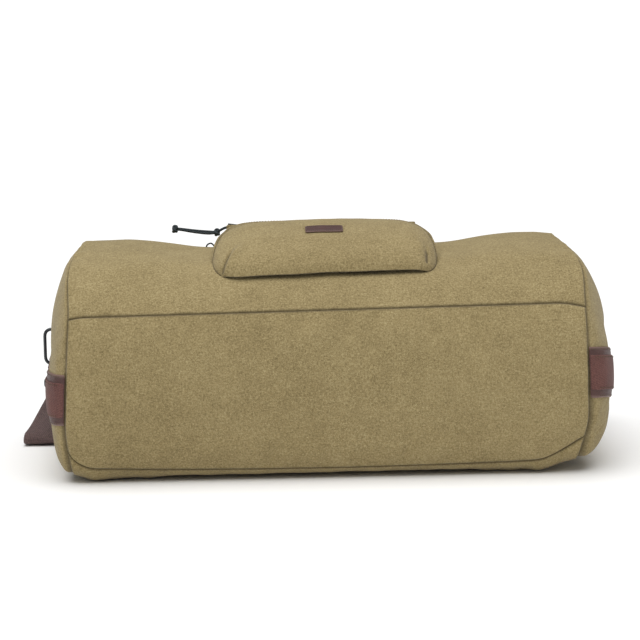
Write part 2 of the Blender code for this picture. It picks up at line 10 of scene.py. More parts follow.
import bmesh
import bpy
from mathutils import Matrix, Vector, noise
from mathutils.bvhtree import BVHTree
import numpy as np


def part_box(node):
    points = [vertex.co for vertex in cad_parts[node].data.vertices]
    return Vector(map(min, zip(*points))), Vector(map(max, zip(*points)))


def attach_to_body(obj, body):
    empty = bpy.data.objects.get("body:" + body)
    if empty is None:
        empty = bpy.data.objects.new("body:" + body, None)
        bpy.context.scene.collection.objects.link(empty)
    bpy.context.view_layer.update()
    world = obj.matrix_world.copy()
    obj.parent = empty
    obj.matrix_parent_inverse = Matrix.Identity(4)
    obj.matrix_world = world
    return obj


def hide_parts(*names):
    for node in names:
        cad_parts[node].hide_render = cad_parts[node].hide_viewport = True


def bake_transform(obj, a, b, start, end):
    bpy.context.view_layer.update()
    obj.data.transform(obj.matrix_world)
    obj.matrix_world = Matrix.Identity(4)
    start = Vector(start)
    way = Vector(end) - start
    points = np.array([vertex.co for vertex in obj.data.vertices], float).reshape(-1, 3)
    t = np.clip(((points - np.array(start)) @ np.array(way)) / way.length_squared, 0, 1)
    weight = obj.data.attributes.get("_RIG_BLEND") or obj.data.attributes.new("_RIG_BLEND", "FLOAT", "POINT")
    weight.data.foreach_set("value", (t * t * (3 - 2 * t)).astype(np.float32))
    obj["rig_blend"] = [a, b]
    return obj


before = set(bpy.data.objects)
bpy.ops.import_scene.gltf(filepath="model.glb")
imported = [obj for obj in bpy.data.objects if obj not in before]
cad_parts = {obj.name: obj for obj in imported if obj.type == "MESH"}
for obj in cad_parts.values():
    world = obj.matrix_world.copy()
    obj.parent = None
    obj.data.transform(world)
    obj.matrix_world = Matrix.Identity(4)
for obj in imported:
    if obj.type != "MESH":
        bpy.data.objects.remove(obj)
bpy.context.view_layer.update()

# %% [markdown]
# The camera stands low and far away behind a long lens, a little to the left, so the base panel looks
# almost flat and the top of the bag is seen at a shallow slant. A long lens keeps the two ends nearly
# the same size, which is how a product is usually shown.

# %% Camera
CAMERA_AZIMUTH = math.radians(-2.0)
CAMERA_HEIGHT = math.radians(10.0)
CAMERA_ROLL = math.radians(-0.8)
CAMERA_DISTANCE = 2.5
LOOK_AT = Vector((-0.005, -0.005, 0.1405))
SENSOR = 36.0
LENS = 141.9


def aim_camera():
    """A camera on a line of sight, rolled about it."""
    data = bpy.data.cameras.new("camera")
    data.sensor_width = SENSOR
    data.lens = LENS
    camera = bpy.data.objects.new("camera", data)
    bpy.context.scene.collection.objects.link(camera)
    flat = math.cos(CAMERA_HEIGHT)
    back = Vector((math.sin(CAMERA_AZIMUTH) * flat, -math.cos(CAMERA_AZIMUTH) * flat,
                   math.sin(CAMERA_HEIGHT)))
    camera.location = LOOK_AT + back * CAMERA_DISTANCE
    turn = (-back).to_track_quat("-Z", "Y").to_matrix().to_4x4()
    turn.translation = camera.location
    camera.matrix_world = turn
    camera.rotation_euler.rotate_axis("Z", CAMERA_ROLL)
    bpy.context.scene.camera = camera
    return camera


aim_camera()
bpy.context.scene.view_settings.view_transform = "Standard"
print("camera lens", LENS, "mm")

# %% [markdown]
# A finish that should look woven or worn needs several scales at once: a slow drift of colour, a
# mottle the size of a fingertip and single fibres. The effects that several finishes share are node
# groups, built once, so that canvas, webbing and leather can each use them with their own values.

# %% Shared effects
def group_with(name, inputs, outputs):
    """A new shader node group with float or vector inputs and float outputs."""
    tree = bpy.data.node_groups.new(name, "ShaderNodeTree")
    for socket, kind, value in inputs:
        made = tree.interface.new_socket(socket, in_out="INPUT", socket_type=kind)
        if value is not None:
            made.default_value = value
    for socket in outputs:
        tree.interface.new_socket(socket, in_out="OUTPUT", socket_type="NodeSocketFloat")
    return tree, tree.nodes.new("NodeGroupInput"), tree.nodes.new("NodeGroupOutput")


def maths(tree, operation, first, second, clamp=False):
    """A Math node; each argument is a number or a socket."""
    node = tree.nodes.new("ShaderNodeMath")
    node.operation = operation
    node.use_clamp = clamp
    for i, value in enumerate((first, second)):
        if isinstance(value, (int, float)):
            node.inputs[i].default_value = value
        else:
            tree.links.new(value, node.inputs[i])
    return node.outputs[0]


def noise_value(tree, vector, scale, detail=2.0, rough=0.5, distortion=0.0):
    """A noise texture's value between 0 and 1."""
    node = tree.nodes.new("ShaderNodeTexNoise")
    node.inputs["Detail"].default_value = detail
    node.inputs["Roughness"].default_value = rough
    node.inputs["Distortion"].default_value = distortion
    tree.links.new(vector, node.inputs["Vector"])
    if isinstance(scale, (int, float)):
        node.inputs["Scale"].default_value = scale
    else:
        tree.links.new(scale, node.inputs["Scale"])
    return node.outputs[0]


def make_mottle_group():
    """Uneven dye: a slow drift, a fingertip mottle and a fine speckle, centred on 0.5."""
    tree, start, end = group_with("uneven_dye", [("Vector", "NodeSocketVector", None),
                                                 ("Drift", "NodeSocketFloat", 0.3),
                                                 ("Mottle", "NodeSocketFloat", 0.3),
                                                 ("Speckle", "NodeSocketFloat", 0.3)], ["Value"])
    vector = start.outputs["Vector"]
    total = 0.5
    for scale, detail, amount in ((7.0, 2.0, "Drift"), (48.0, 3.0, "Mottle"), (620.0, 2.0, "Speckle")):
        centred = maths(tree, "SUBTRACT", noise_value(tree, vector, scale, detail, 0.6), 0.5)
        total = maths(tree, "ADD", total, maths(tree, "MULTIPLY", centred, start.outputs[amount]))
    tree.links.new(total, end.inputs["Value"])
    return tree


def make_weave_group():
    """A plain weave on a UV map in metres: threads over and under each other, as a height."""
    tree, start, end = group_with("plain_weave", [("Vector", "NodeSocketVector", None),
                                                  ("Thread", "NodeSocketFloat", 0.0008)], ["Height"])
    split = tree.nodes.new("ShaderNodeSeparateXYZ")
    tree.links.new(start.outputs["Vector"], split.inputs[0])
    waves = []
    for axis in ("X", "Y"):
        threads = maths(tree, "DIVIDE", split.outputs[axis], start.outputs["Thread"])
        turns = maths(tree, "MULTIPLY", threads, math.pi)
        waves.append(maths(tree, "SINE", turns, 0.0))
    both = maths(tree, "MULTIPLY", waves[0], waves[1])
    tree.links.new(maths(tree, "MULTIPLY_ADD", both, 0.5), end.inputs["Height"])
    tree.nodes[-1].inputs[2].default_value = 0.5
    return tree


UNEVEN_DYE = make_mottle_group()
PLAIN_WEAVE = make_weave_group()
print("shared effects:", UNEVEN_DYE.name, PLAIN_WEAVE.name)

# %% [markdown]
# The canvas is washed and a little suede-like: matt, sandy, lighter where fibres catch the light and
# darker in every seam, where shade is painted into the colour of the crease. Each canvas mesh carries a
# "seam" value that is 1 in a seam and falls to 0 a few millimetres away, so the painted shade follows
# the sewing. The weave is a small bump on a UV map that is laid out in metres.

# %% Canvas
def new_finish(name, roughness, metallic=0.0):
    """A material with its tree, its Principled shader and its texture coordinates."""
    made = bpy.data.materials.new(name)
    made.use_nodes = True
    tree = made.node_tree
    shader = tree.nodes["Principled BSDF"]
    shader.inputs["Roughness"].default_value = roughness
    shader.inputs["Metallic"].default_value = metallic
    return made, tree, shader, tree.nodes.new("ShaderNodeTexCoord")


def shared(tree, group, vector, **values):
    """Place a shared effect and give back its first output."""
    node = tree.nodes.new("ShaderNodeGroup")
    node.node_tree = group
    tree.links.new(vector, node.inputs["Vector"])
    for name, value in values.items():
        node.inputs[name].default_value = value
    return node.outputs[0]


def colour_steps(tree, value, steps):
    """A colour ramp through (position, colour) steps."""
    ramp = tree.nodes.new("ShaderNodeValToRGB").color_ramp
    node = tree.nodes[-1]
    while len(ramp.elements) < len(steps):
        ramp.elements.new(0.5)
    for element, (position, colour) in zip(ramp.elements, steps):
        element.position = position
        element.color = (*colour, 1.0)
    tree.links.new(value, node.inputs["Fac"])
    return node.outputs["Color"]


def mixed(tree, amount, first, second):
    """Mix two colours, each a socket or a tuple, by a socket."""
    node = tree.nodes.new("ShaderNodeMix")
    node.data_type = "RGBA"
    tree.links.new(amount, node.inputs["Factor"])
    for socket, value in (("A", first), ("B", second)):
        into = next(s for s in node.inputs if s.name == socket and s.type == "RGBA")
        if isinstance(value, tuple):
            into.default_value = (*value, 1.0)
        else:
            tree.links.new(value, into)
    return next(s for s in node.outputs if s.type == "RGBA")


def bump(tree, shader, height, distance, strength=1.0):
    """Turn a height into the shader's normal."""
    node = tree.nodes.new("ShaderNodeBump")
    node.inputs["Distance"].default_value = distance
    node.inputs["Strength"].default_value = strength
    tree.links.new(height, node.inputs["Height"])
    tree.links.new(node.outputs["Normal"], shader.inputs["Normal"])


def stretched(tree, vector, scale):
    """Coordinates pulled out along one axis, for fibres."""
    node = tree.nodes.new("ShaderNodeMapping")
    node.inputs["Scale"].default_value = scale
    tree.links.new(vector, node.inputs["Vector"])
    return node.outputs[0]


def named_value(tree, name):
    """A value stored on the mesh."""
    node = tree.nodes.new("ShaderNodeAttribute")
    node.attribute_name = name
    return node.outputs["Fac"]


def make_canvas():
    """Washed sand-coloured canvas, with painted shade darkening its seams."""
    made, tree, shader, coords = new_finish("washed_canvas", 0.93)
    place = coords.outputs["Object"]
    dye = shared(tree, UNEVEN_DYE, place, Drift=0.20, Mottle=0.22, Speckle=0.80)
    fibres = noise_value(tree, stretched(tree, place, (260.0, 900.0, 900.0)), 1.0, 2.0, 0.7)
    threads = noise_value(tree, stretched(tree, place, (1000.0, 1000.0, 240.0)), 1.0, 2.0, 0.7)
    either = maths(tree, "MAXIMUM", fibres, threads)
    streak = maths(tree, "MULTIPLY", maths(tree, "SUBTRACT", either, 0.56), 0.75)
    shade = maths(tree, "ADD", dye, streak, clamp=True)
    sand = colour_steps(tree, shade, ((0.22, (0.178, 0.131, 0.052)), (0.50, (0.304, 0.234, 0.105)),
                                      (0.80, (0.458, 0.370, 0.190))))
    seam = named_value(tree, "seam")
    # Painted shade: the seam value darkens the sand towards a deep brown in the seam creases.
    seam_shade = maths(tree, "MULTIPLY", maths(tree, "POWER", seam, 2.0), 0.80, clamp=True)
    shaded_sand = mixed(tree, seam_shade, sand, (0.062, 0.045, 0.020))
    tree.links.new(shaded_sand, shader.inputs["Base Color"])
    shader.inputs["Sheen Weight"].default_value = 0.12
    shader.inputs["Sheen Roughness"].default_value = 0.45
    weave = shared(tree, PLAIN_WEAVE, coords.outputs["UV"], Thread=0.0009)
    grain = noise_value(tree, place, 900.0, 2.0, 0.6)
    height = maths(tree, "ADD", maths(tree, "MULTIPLY", weave, 0.35), grain)
    bump(tree, shader, height, 0.0007, 0.8)
    return made


CANVAS = make_canvas()
print("canvas:", len(CANVAS.node_tree.nodes), "nodes")

# %% [markdown]
# Webbing is a heavy twill: diagonal ribs along its length, a thread or two lighter than the rest. The
# leather is brown and smooth, with a fine pebble, darker in its pores and rubbed lighter on its edges.
# The cord is braided, and the metal is black paint over steel, glossy where it is clean.

# %% Webbing, leather, cord and metal
def make_webbing(name, dark, light):
    """Twilled brown webbing on a UV map of (across, along) in metres."""
    made, tree, shader, coords = new_finish(name, 0.78)
    split = tree.nodes.new("ShaderNodeSeparateXYZ")
    tree.links.new(coords.outputs["UV"], split.inputs[0])
    across, along = split.outputs["X"], split.outputs["Y"]
    slant = maths(tree, "ADD", maths(tree, "MULTIPLY", across, 2600.0),
                  maths(tree, "MULTIPLY", along, 2100.0))
    twill = maths(tree, "SINE", slant, 0.0)
    cross = maths(tree, "SINE", maths(tree, "MULTIPLY", along, 3700.0), 0.0)
    ribs = maths(tree, "MULTIPLY", maths(tree, "ADD", twill, maths(tree, "MULTIPLY", cross, 0.5)), 0.33)
    dye = shared(tree, UNEVEN_DYE, coords.outputs["Object"], Drift=0.25, Mottle=0.30, Speckle=0.75)
    shade = maths(tree, "ADD", dye, maths(tree, "MULTIPLY", ribs, 0.22), clamp=True)
    tree.links.new(colour_steps(tree, shade, ((0.25, dark), (0.80, light))), shader.inputs["Base Color"])
    shader.inputs["Sheen Weight"].default_value = 0.06
    bump(tree, shader, ribs, 0.0005, 0.7)
    return made


def make_leather(name, dark, light):
    """Brown leather with a fine pebble; the mesh's "edge" value lightens its rubbed rims."""
    made, tree, shader, coords = new_finish(name, 0.50)
    shader.inputs["Specular IOR Level"].default_value = 0.32
    place = coords.outputs["Object"]
    cells = tree.nodes.new("ShaderNodeTexVoronoi")
    cells.feature = "DISTANCE_TO_EDGE"
    cells.inputs["Scale"].default_value = 1100.0
    tree.links.new(place, cells.inputs["Vector"])
    pores = maths(tree, "MINIMUM", maths(tree, "MULTIPLY", cells.outputs["Distance"], 4.0), 1.0)
    dye = shared(tree, UNEVEN_DYE, place, Drift=0.30, Mottle=0.45, Speckle=0.30)
    pitting = maths(tree, "MULTIPLY", maths(tree, "SUBTRACT", pores, 0.6), 0.12)
    shade = maths(tree, "ADD", dye, pitting, clamp=True)
    brown = colour_steps(tree, shade, ((0.25, dark), (0.75, light)))
    rubbed = mixed(tree, maths(tree, "MULTIPLY", named_value(tree, "edge"), 0.55), brown, (0.30, 0.20, 0.165))
    tree.links.new(rubbed, shader.inputs["Base Color"])
    gloss = maths(tree, "ADD", maths(tree, "MULTIPLY", dye, 0.25), 0.32)
    tree.links.new(gloss, shader.inputs["Roughness"])
    bump(tree, shader, pores, 0.0002, 0.5)
    return made


def make_cord_finish():
    """Black braided cord: two sets of strands crossing round a tube, on a UV map in turns and metres."""
    made, tree, shader, coords = new_finish("braided_cord", 0.70)
    split = tree.nodes.new("ShaderNodeSeparateXYZ")
    tree.links.new(coords.outputs["UV"], split.inputs[0])
    turns = maths(tree, "MULTIPLY", split.outputs["X"], math.tau * 4)
    along = maths(tree, "MULTIPLY", split.outputs["Y"], math.tau / 0.0032)
    first = maths(tree, "SINE", maths(tree, "ADD", turns, along), 0.0)
    second = maths(tree, "SINE", maths(tree, "SUBTRACT", turns, along), 0.0)
    braid = maths(tree, "MAXIMUM", first, second)
    shade = maths(tree, "MULTIPLY", maths(tree, "ADD", braid, 1.0), 0.5, clamp=True)
    tree.links.new(colour_steps(tree, shade, ((0.2, (0.006, 0.009, 0.011)), (0.9, (0.030, 0.044, 0.052)))),
                   shader.inputs["Base Color"])
    bump(tree, shader, braid, 0.0004, 0.8)
    return made


def make_plain(name, dark, light, roughness, metallic, grain, coat=0.0):
    """A finish for small hard parts: slight unevenness of colour, gloss and surface."""
    made, tree, shader, coords = new_finish(name, roughness, metallic)
    dye = shared(tree, UNEVEN_DYE, coords.outputs["Object"], Drift=0.3, Mottle=0.5, Speckle=0.4)
    tree.links.new(colour_steps(tree, dye, ((0.3, dark), (0.7, light))), shader.inputs["Base Color"])
    gloss = maths(tree, "ADD", maths(tree, "MULTIPLY", dye, 0.2), roughness - 0.1)
    tree.links.new(gloss, shader.inputs["Roughness"])
    shader.inputs["Coat Weight"].default_value = coat
    bump(tree, shader, noise_value(tree, coords.outputs["Object"], 1400.0), grain, 0.4)
    return made


STRAP_WEBBING = make_webbing("strap_webbing_twill", (0.040, 0.022, 0.021), (0.150, 0.092, 0.086))
BAND_WEBBING = make_webbing("band_webbing_twill", (0.068, 0.022, 0.018), (0.180, 0.070, 0.056))
LEATHER = make_leather("brown_leather", (0.048, 0.021, 0.018), (0.120, 0.058, 0.050))
CORD_FINISH = make_cord_finish()
BLACK_METAL = make_plain("black_painted_steel", (0.010, 0.014, 0.017), (0.022, 0.030, 0.036), 0.34, 0.2,
                         0.00008, 0.4)
ZIP_TEETH = make_plain("zip_teeth", (0.022, 0.016, 0.012), (0.050, 0.036, 0.026), 0.42, 0.0, 0.00005)
THREAD = make_plain("brown_thread", (0.050, 0.034, 0.018), (0.110, 0.080, 0.042), 0.75, 0.0, 0.0001)
SAND_THREAD = make_plain("sand_thread", (0.240, 0.180, 0.085), (0.380, 0.300, 0.160), 0.75, 0.0, 0.0001)
BOARD = make_plain("base_board_plastic", (0.014, 0.014, 0.014), (0.030, 0.030, 0.030), 0.55, 0.0, 0.0002)
print("finishes:", len(bpy.data.materials))

# %% [markdown]
# Almost every soft part here is a sheet or a tube that runs along a path. One helper starts from
# Blender's own grid and sends each of its corners to its place, with a UV map in metres, so a weave
# keeps its real size. A strip and a tube are both made from it.

# %% Grids, strips and tubes
def spline(points, steps, closed=False):
    """Catmull-Rom points through the given vectors."""
    count = len(points)
    out = []
    for span in range(count if closed else count - 1):
        picks = [span - 1, span, span + 1, span + 2]
        if closed:
            a, b, c, d = (points[i % count] for i in picks)
        else:
            a, b, c, d = (points[min(max(i, 0), count - 1)] for i in picks)
        for step in range(steps):
            t = step / steps
            out.append(0.5 * (2 * b + (c - a) * t + (2 * a - 5 * b + 4 * c - d) * t**2
                              + (3 * b - a - 3 * c + d) * t**3))
    if not closed:
        out.append(points[-1].copy())
    return out


def dress(name, bm, finish):
    """A smooth-shaded object from a bmesh."""
    mesh = bpy.data.meshes.new(name)
    bm.to_mesh(mesh)
    bm.free()
    mesh.materials.append(finish)
    mesh.shade_smooth()
    obj = bpy.data.objects.new(name, mesh)
    bpy.context.scene.collection.objects.link(obj)
    return obj


def mapped_grid(columns, rows, where, uv):
    """A bmesh grid whose corner (i, j) sits at where(i, j), with uv(i, j) in metres."""
    bm = bmesh.new()
    flat = bm.loops.layers.uv.new("metres")
    bm.faces.layers.int.new("part")
    bm.verts.layers.float.new("seam")
    bm.verts.layers.float.new("edge")
    bmesh.ops.create_grid(bm, x_segments=columns, y_segments=rows, size=1.0)
    spots = {vert: (round((vert.co.x + 1) / 2 * columns), round((vert.co.y + 1) / 2 * rows))
             for vert in bm.verts}
    for face in bm.faces:
        for loop in face.loops:
            loop[flat].uv = uv(*spots[loop.vert])
    for vert, spot in spots.items():
        vert.co = where(*spot)
    return bm, spots


def wall(obj, thickness, offset=-1.0, round_first=False):
    """Give a sheet its thickness and round it; rounding first keeps its cut edges where they are."""
    for kind in ("SUBSURF", "SOLIDIFY") if round_first else ("SOLIDIFY", "SUBSURF"):
        step = obj.modifiers.new(kind.lower(), kind)
        if kind == "SUBSURF":
            step.levels = 1
            step.render_levels = 1
        else:
            step.thickness = thickness
            step.offset = offset
    bpy.context.view_layer.update()
    ready = bpy.context.evaluated_depsgraph_get()
    made = bpy.data.meshes.new_from_object(obj.evaluated_get(ready), preserve_all_data_layers=True,
                                           depsgraph=ready)
    if not made.polygons:
        raise RuntimeError(f"{obj.name} came out empty")
    obj.modifiers.clear()
    obj.data = made
    if round_first:
        made.set_sharp_from_angle(angle=math.radians(55))
    return obj


def lengths_along(path):
    """Distance from the start at each point of a path."""
    total = [0.0]
    for a, b in zip(path, path[1:]):
        total.append(total[-1] + (b - a).length)
    return total


def strip(name, points, facing, width, thickness, finish, steps=5, columns=6, crown=0.0):
    """A flat band swept along points, its flat side looking towards facing."""
    path = spline([Vector(p) for p in points], steps)
    looks = spline([Vector(f) for f in facing], steps)
    along = lengths_along(path)
    frames = []
    for i, here in enumerate(path):
        ahead = (path[min(i + 1, len(path) - 1)] - path[max(i - 1, 0)]).normalized()
        normal = (looks[i] - ahead * looks[i].dot(ahead)).normalized()
        frames.append((here, ahead.cross(normal), normal))

    def where(i, j):
        here, side, normal = frames[j]
        across = 2 * i / columns - 1
        return here + side * across * width / 2 + normal * crown * (1 - across**2)

    bm, _ = mapped_grid(columns, len(path) - 1, where, lambda i, j: (i / columns * width, along[j]))
    obj = dress(name, bm, finish)
    return wall(obj, thickness, 0.0)


def tube(name, path, radius, finish, sides=12, closed=False, up=None):
    """A round tube along a path; a closed one joins its ends, an open one has rounded ends."""
    count = len(path)
    rings = []
    normal = Vector(up) if up else Vector((0.31, 0.22, 0.93))
    for i, here in enumerate(path):
        if closed:
            ahead = (path[(i + 1) % count] - path[i - 1]).normalized()
            normal = Vector(up)
        else:
            ahead = (path[min(i + 1, count - 1)] - path[max(i - 1, 0)]).normalized()
        normal = (normal - ahead * normal.dot(ahead)).normalized()
        rings.append((here, ahead, normal, radius))
    if closed:
        rings.append(rings[0])
    else:
        here, ahead, normal, _ = rings[0]
        rings[:1] = [(here, ahead, normal, 0.0), (here + ahead * radius * 0.15, ahead, normal, radius * 0.6),
                     (here + ahead * radius * 0.5, ahead, normal, radius)]
        here, ahead, normal, _ = rings[-1]
        rings[-1:] = [(here - ahead * radius * 0.5, ahead, normal, radius),
                      (here - ahead * radius * 0.15, ahead, normal, radius * 0.6), (here, ahead, normal, 0.0)]
    along = lengths_along([ring[0] for ring in rings])

    def where(i, j):
        here, ahead, normal, size = rings[j]
        turn = math.tau * i / sides
        return here + (normal * math.cos(turn) + ahead.cross(normal) * math.sin(turn)) * size

    bm, _ = mapped_grid(sides, len(rings) - 1, where, lambda i, j: (i / sides, along[j]))
    bmesh.ops.remove_doubles(bm, verts=bm.verts, dist=1e-7)
    bmesh.ops.recalc_face_normals(bm, faces=bm.faces)
    return dress(name, bm, finish)


def stitches(name, path, normals, pitch, size, finish):
    """Short stitches laid end to end along a path, each a small rounded grain."""
    bm = bmesh.new()
    along = lengths_along(path)
    travelled = pitch / 2
    index = 0
    while travelled < along[-1]:
        while along[index + 1] < travelled:
            index += 1
        share = (travelled - along[index]) / (along[index + 1] - along[index])
        here = path[index].lerp(path[index + 1], share)
        ahead = (path[index + 1] - path[index]).normalized()
        normal = normals[index]
        side = ahead.cross(normal).normalized()
        up = side.cross(ahead)
        turn = Matrix((ahead * size[0] / 2, side * size[1] / 2, up * size[2] / 2)).transposed().to_4x4()
        turn.translation = here
        bmesh.ops.create_uvsphere(bm, u_segments=6, v_segments=4, radius=1.0, matrix=turn)
        travelled += pitch
    bmesh.ops.recalc_face_normals(bm, faces=bm.faces)
    return dress(name, bm, finish)


def face_towards(bm, direction):
    """Turn a sheet over if most of its faces look away from a direction."""
    bmesh.ops.recalc_face_normals(bm, faces=bm.faces)
    if sum(face.normal.dot(direction) for face in bm.faces) < 0:
        bmesh.ops.reverse_faces(bm, faces=bm.faces)


def rounded_block(name, low, high, radius, finish, taper=1.0):
    """A block between two corners with rounded edges; taper narrows its right-hand end."""
    middle = (low + high) / 2
    bm = bmesh.new()
    bmesh.ops.create_cube(bm, size=1.0, matrix=Matrix.LocRotScale(middle, None, high - low))
    for vert in bm.verts:
        if vert.co.x > middle.x:
            vert.co.z = middle.z + (vert.co.z - middle.z) * taper
    bmesh.ops.bevel(bm, geom=bm.edges[:], offset=radius, offset_type="OFFSET", segments=3, profile=0.5,
                    affect="EDGES", material=-1)
    return dress(name, bm, finish)


def once_round(wide, tall):
    """Points (a, b) between -1 and 1 that walk once round a square."""
    across = [step / wide - 1 for step in range(2 * wide + 1)]
    upwards = [step / tall - 1 for step in range(2 * tall + 1)]
    walk = [(a, -1) for a in across] + [(1, b) for b in upwards]
    return walk + [(-a, 1) for a in across] + [(-1, -b) for b in upwards]


def corners_of(node):
    """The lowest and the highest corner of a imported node."""
    return (Vector(corner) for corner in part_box(node))


def attach(piece, body, node=None):
    """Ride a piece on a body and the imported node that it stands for, if any."""
    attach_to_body(piece, body)
    if node:
        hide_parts(node)
    return piece


print("helpers ready")

# %% [markdown]
# Both zip sliders are pulled by a short black cord. It is one loop: knotted close to the slider, then
# two strands side by side as far as a second knot. Each pull is short and stiff enough to stand out a
# little from the bag. The main line of the cord runs from the slider to the end knot, and the second
# strand and both knots go with it.

# %% Pull cords
REST_Y = 0.105
WORDS = {-1: "left", 1: "right"}
CORD_THICK = 0.0026
POCKET_PULL = [(-0.0948, 0.1822, 0.2238), (-0.0985, 0.1834, 0.2225), (-0.1021, 0.1844, 0.2205),
               (-0.1056, 0.1845, 0.2188), (-0.1150, 0.1845, 0.2192), (-0.1290, 0.1845, 0.2206),
               (-0.1420, 0.1845, 0.2224), (-0.1482, 0.1845, 0.2229)]
MAIN_PULL = [(-0.2320, 0.2546, 0.1052), (-0.2330, 0.2564, 0.0920), (-0.2330, 0.2573, 0.0800),
             (-0.2330, 0.2580, 0.0735), (-0.2330, 0.2580, 0.0620), (-0.2330, 0.2578, 0.0520),
             (-0.2330, 0.2578, 0.0435)]


def knot(name, centre, size, axis):
    """A simple overhand knot pulled tight."""
    axis = Vector(axis).normalized()
    side = axis.orthogonal().normalized()
    third = axis.cross(side)
    path = []
    for i in range(48):
        turn = math.tau * i / 48
        a = math.sin(turn) + 2 * math.sin(2 * turn)
        b = math.cos(turn) - 2 * math.cos(2 * turn)
        c = -math.sin(3 * turn)
        path.append(Vector(centre) + (side * a + third * b) * size / 6.5 + axis * c * size / 4.4)
    return tube(name, path, CORD_THICK * 0.56, CORD_FINISH, sides=10, closed=True, up=axis)


def pull_cord(kind, route, spread, body):
    """The main strand, the second strand beyond the first knot, and both knots."""
    route = [Vector((x, y - REST_Y, z)) for x, y, z in route]
    path = spline(route, 6)
    cord = tube(f"{kind}_pull_braid", path, CORD_THICK / 2, CORD_FINISH)
    spread = Vector(spread)
    tail = [p + spread * math.sin(math.pi * min(max((i + 0.5) / 3.5, 0.15), 0.85))
            for i, p in enumerate(route[3:])]
    second = tube(f"{kind}_pull_strand", spline(tail, 6), CORD_THICK / 2, CORD_FINISH)
    near = knot(f"{kind}_pull_near_knot", route[3] + spread * 0.4, 0.0068, route[4] - route[2])
    far = knot(f"{kind}_pull_far_knot", route[-1] + spread * 0.4, 0.0072, route[-1] - route[-2])
    for piece, node in ((cord, "cord"), (second, "tail"), (near, "knot"), (far, "end")):
        attach(piece, body, f"{kind}_pull_{node}")
    length = lengths_along(path)[-1]
    tuple(route[0])
    [tuple(p) for p in path]
    print(kind, "pull", round(length * 1000, 1), "mm")


pull_cord("pocket", POCKET_PULL, (0.0, -0.0009, -0.0018), "pocket_slider")
pull_cord("main", MAIN_PULL, (0.0022, 0.0, 0.0), "main_slider")

# %% [markdown]
# The bag's skin starts as one closed surface: the tube, drawn as a cross-section carried from end to
# end, and a domed cap on each end. One shell lets the sewing lines meet exactly and lets a cloth
# simulation fill it like a stuffed bag. The end seams aren't straight: they lean in at the top, and
# the corners of the base are rounded, more on the right than on the left.

# %% The cross-section and the end seams
SECTION = [
    (12, 9), (2, 48), (-2, 90), (3, 132), (14, 166), (43, 196.5), (82, 212), (125, 216.5), (165, 214),
    (196, 205.5), (226, 185), (243, 153), (250, 112), (245, 72), (233, 38), (212, 9), (186, 0),
    (150, 0), (100, 0), (60, 0), (34, 1),
]
LEFT_SEAM = [250, 254, 252.5, 250.5, 249, 250, 246, 241, 240, 242, 246, 248.5, 249.5, 249.5, 249, 247,
             244, 243, 243, 245, 248]
RIGHT_SEAM = [242, 249, 249, 248.5, 248, 248.5, 240.6, 233, 234, 239, 245, 248.5, 249.5, 249.5, 249, 247,
              243, 240, 239, 240, 240]
STEPS = 16
TOP_SEAM = 4.0
FRONT_HINGE = 9.0
LIP_FRONT = 11.73
LIP_BACK = 12.28
BACK_HINGE = 14.0
TOTAL = float(len(SECTION))
MOUTH_HALF = 0.2222
MOUTH_Z = 0.112
HALF_LENGTH = 0.2495
CROWN = {-1: Vector((-0.2722, 0.0, 0.098)), 1: Vector((0.2768, 0.0, 0.098))}

OUTLINE = spline([Vector((y / 1000, z / 1000)) for y, z in SECTION], STEPS, closed=True)
LEFT_LINE = spline([Vector((x / 1000, 0)) for x in LEFT_SEAM], STEPS, closed=True)
RIGHT_LINE = spline([Vector((x / 1000, 0)) for x in RIGHT_SEAM], STEPS, closed=True)


def along_line(line, place):
    """A point of a closed spline at a place counted in its control points."""
    index = place * STEPS
    low = math.floor(index)
    return line[low % len(line)].lerp(line[(low + 1) % len(line)], index - low)


def ease(low, high, value):
    """A smooth step from 0 at low to 1 at high."""
    t = min(max((value - low) / (high - low), 0.0), 1.0)
    return t * t * (3 - 2 * t)


def bottom_seam_place(share):
    """Where the bottom seam runs, as a place on the section; it climbs towards both ends."""
    rise = 2 + 7 * share**2
    if share < 0:
        rise += 15 * max((-share - 0.90) / 0.10, 0.0)**5
    else:
        rise += 14 * max((share - 0.66) / 0.34, 0.0)**5
    return rise / 39


def top_seam_place(share):
    """Where the top seam runs; it tips up to the right and droops at both ends."""
    rise = -0.3 + 2.7 * share
    rise = rise - 2.4 * max((-share - 0.93) / 0.07, 0.0)**2 - 5.0 * max((share - 0.88) / 0.12, 0.0)**2
    return TOP_SEAM + rise / 34


def skin_point(share, place):
    """A point of the tube: share runs from -1 at the left end seam to 1 at the right."""
    spot = along_line(OUTLINE, place)
    left = along_line(LEFT_LINE, place).x
    right = along_line(RIGHT_LINE, place).x
    x = share * HALF_LENGTH
    near_end = ease(0.72, 1.0, abs(share))
    x += (right - HALF_LENGTH) * near_end if share > 0 else (HALF_LENGTH - left) * near_end
    z = max(spot.y, 0.0)
    turn = place % TOTAL
    low = 1.0 - ease(0.2, 1.6, turn) if turn < 3 else ease(15.0, 19.0, turn)
    lift = 0.010 * ease(0.80, 1.0, share) if share > 0 else 0.005 * ease(0.90, 1.0, -share)
    dip = 0.0095 * (1 - ease(0.42, 0.80, abs(share))) * ease(4.6, 6.6, turn) * (1 - ease(9.0, 11.0, turn))
    return Vector((x, spot.x - REST_Y, z + lift * low - dip))


print("section of", len(OUTLINE), "points")

# %% [markdown]
# Rows and columns crowd together beside every seam, because a seam is a crease only 2 mm wide, and
# spread out in between. Each corner of the mesh also remembers how far it is from its nearest seam.
# The caps share the tube's end points, so the shell closes without a gap.

# %% One shell
def spread(length, tight_start, tight_end, step):
    """Shares of a length, close together at the ends asked for."""
    crowd = [0.0, 0.0011, 0.0023, 0.0038, 0.0060]
    start = crowd if tight_start else [0.0]
    end = [length - c for c in reversed(crowd)] if tight_end else [length]
    gap = end[0] - start[-1]
    count = max(round(gap / step), 1)
    inner = [start[-1] + gap * i / count for i in range(1, count)]
    return [d / length for d in start + inner + end]


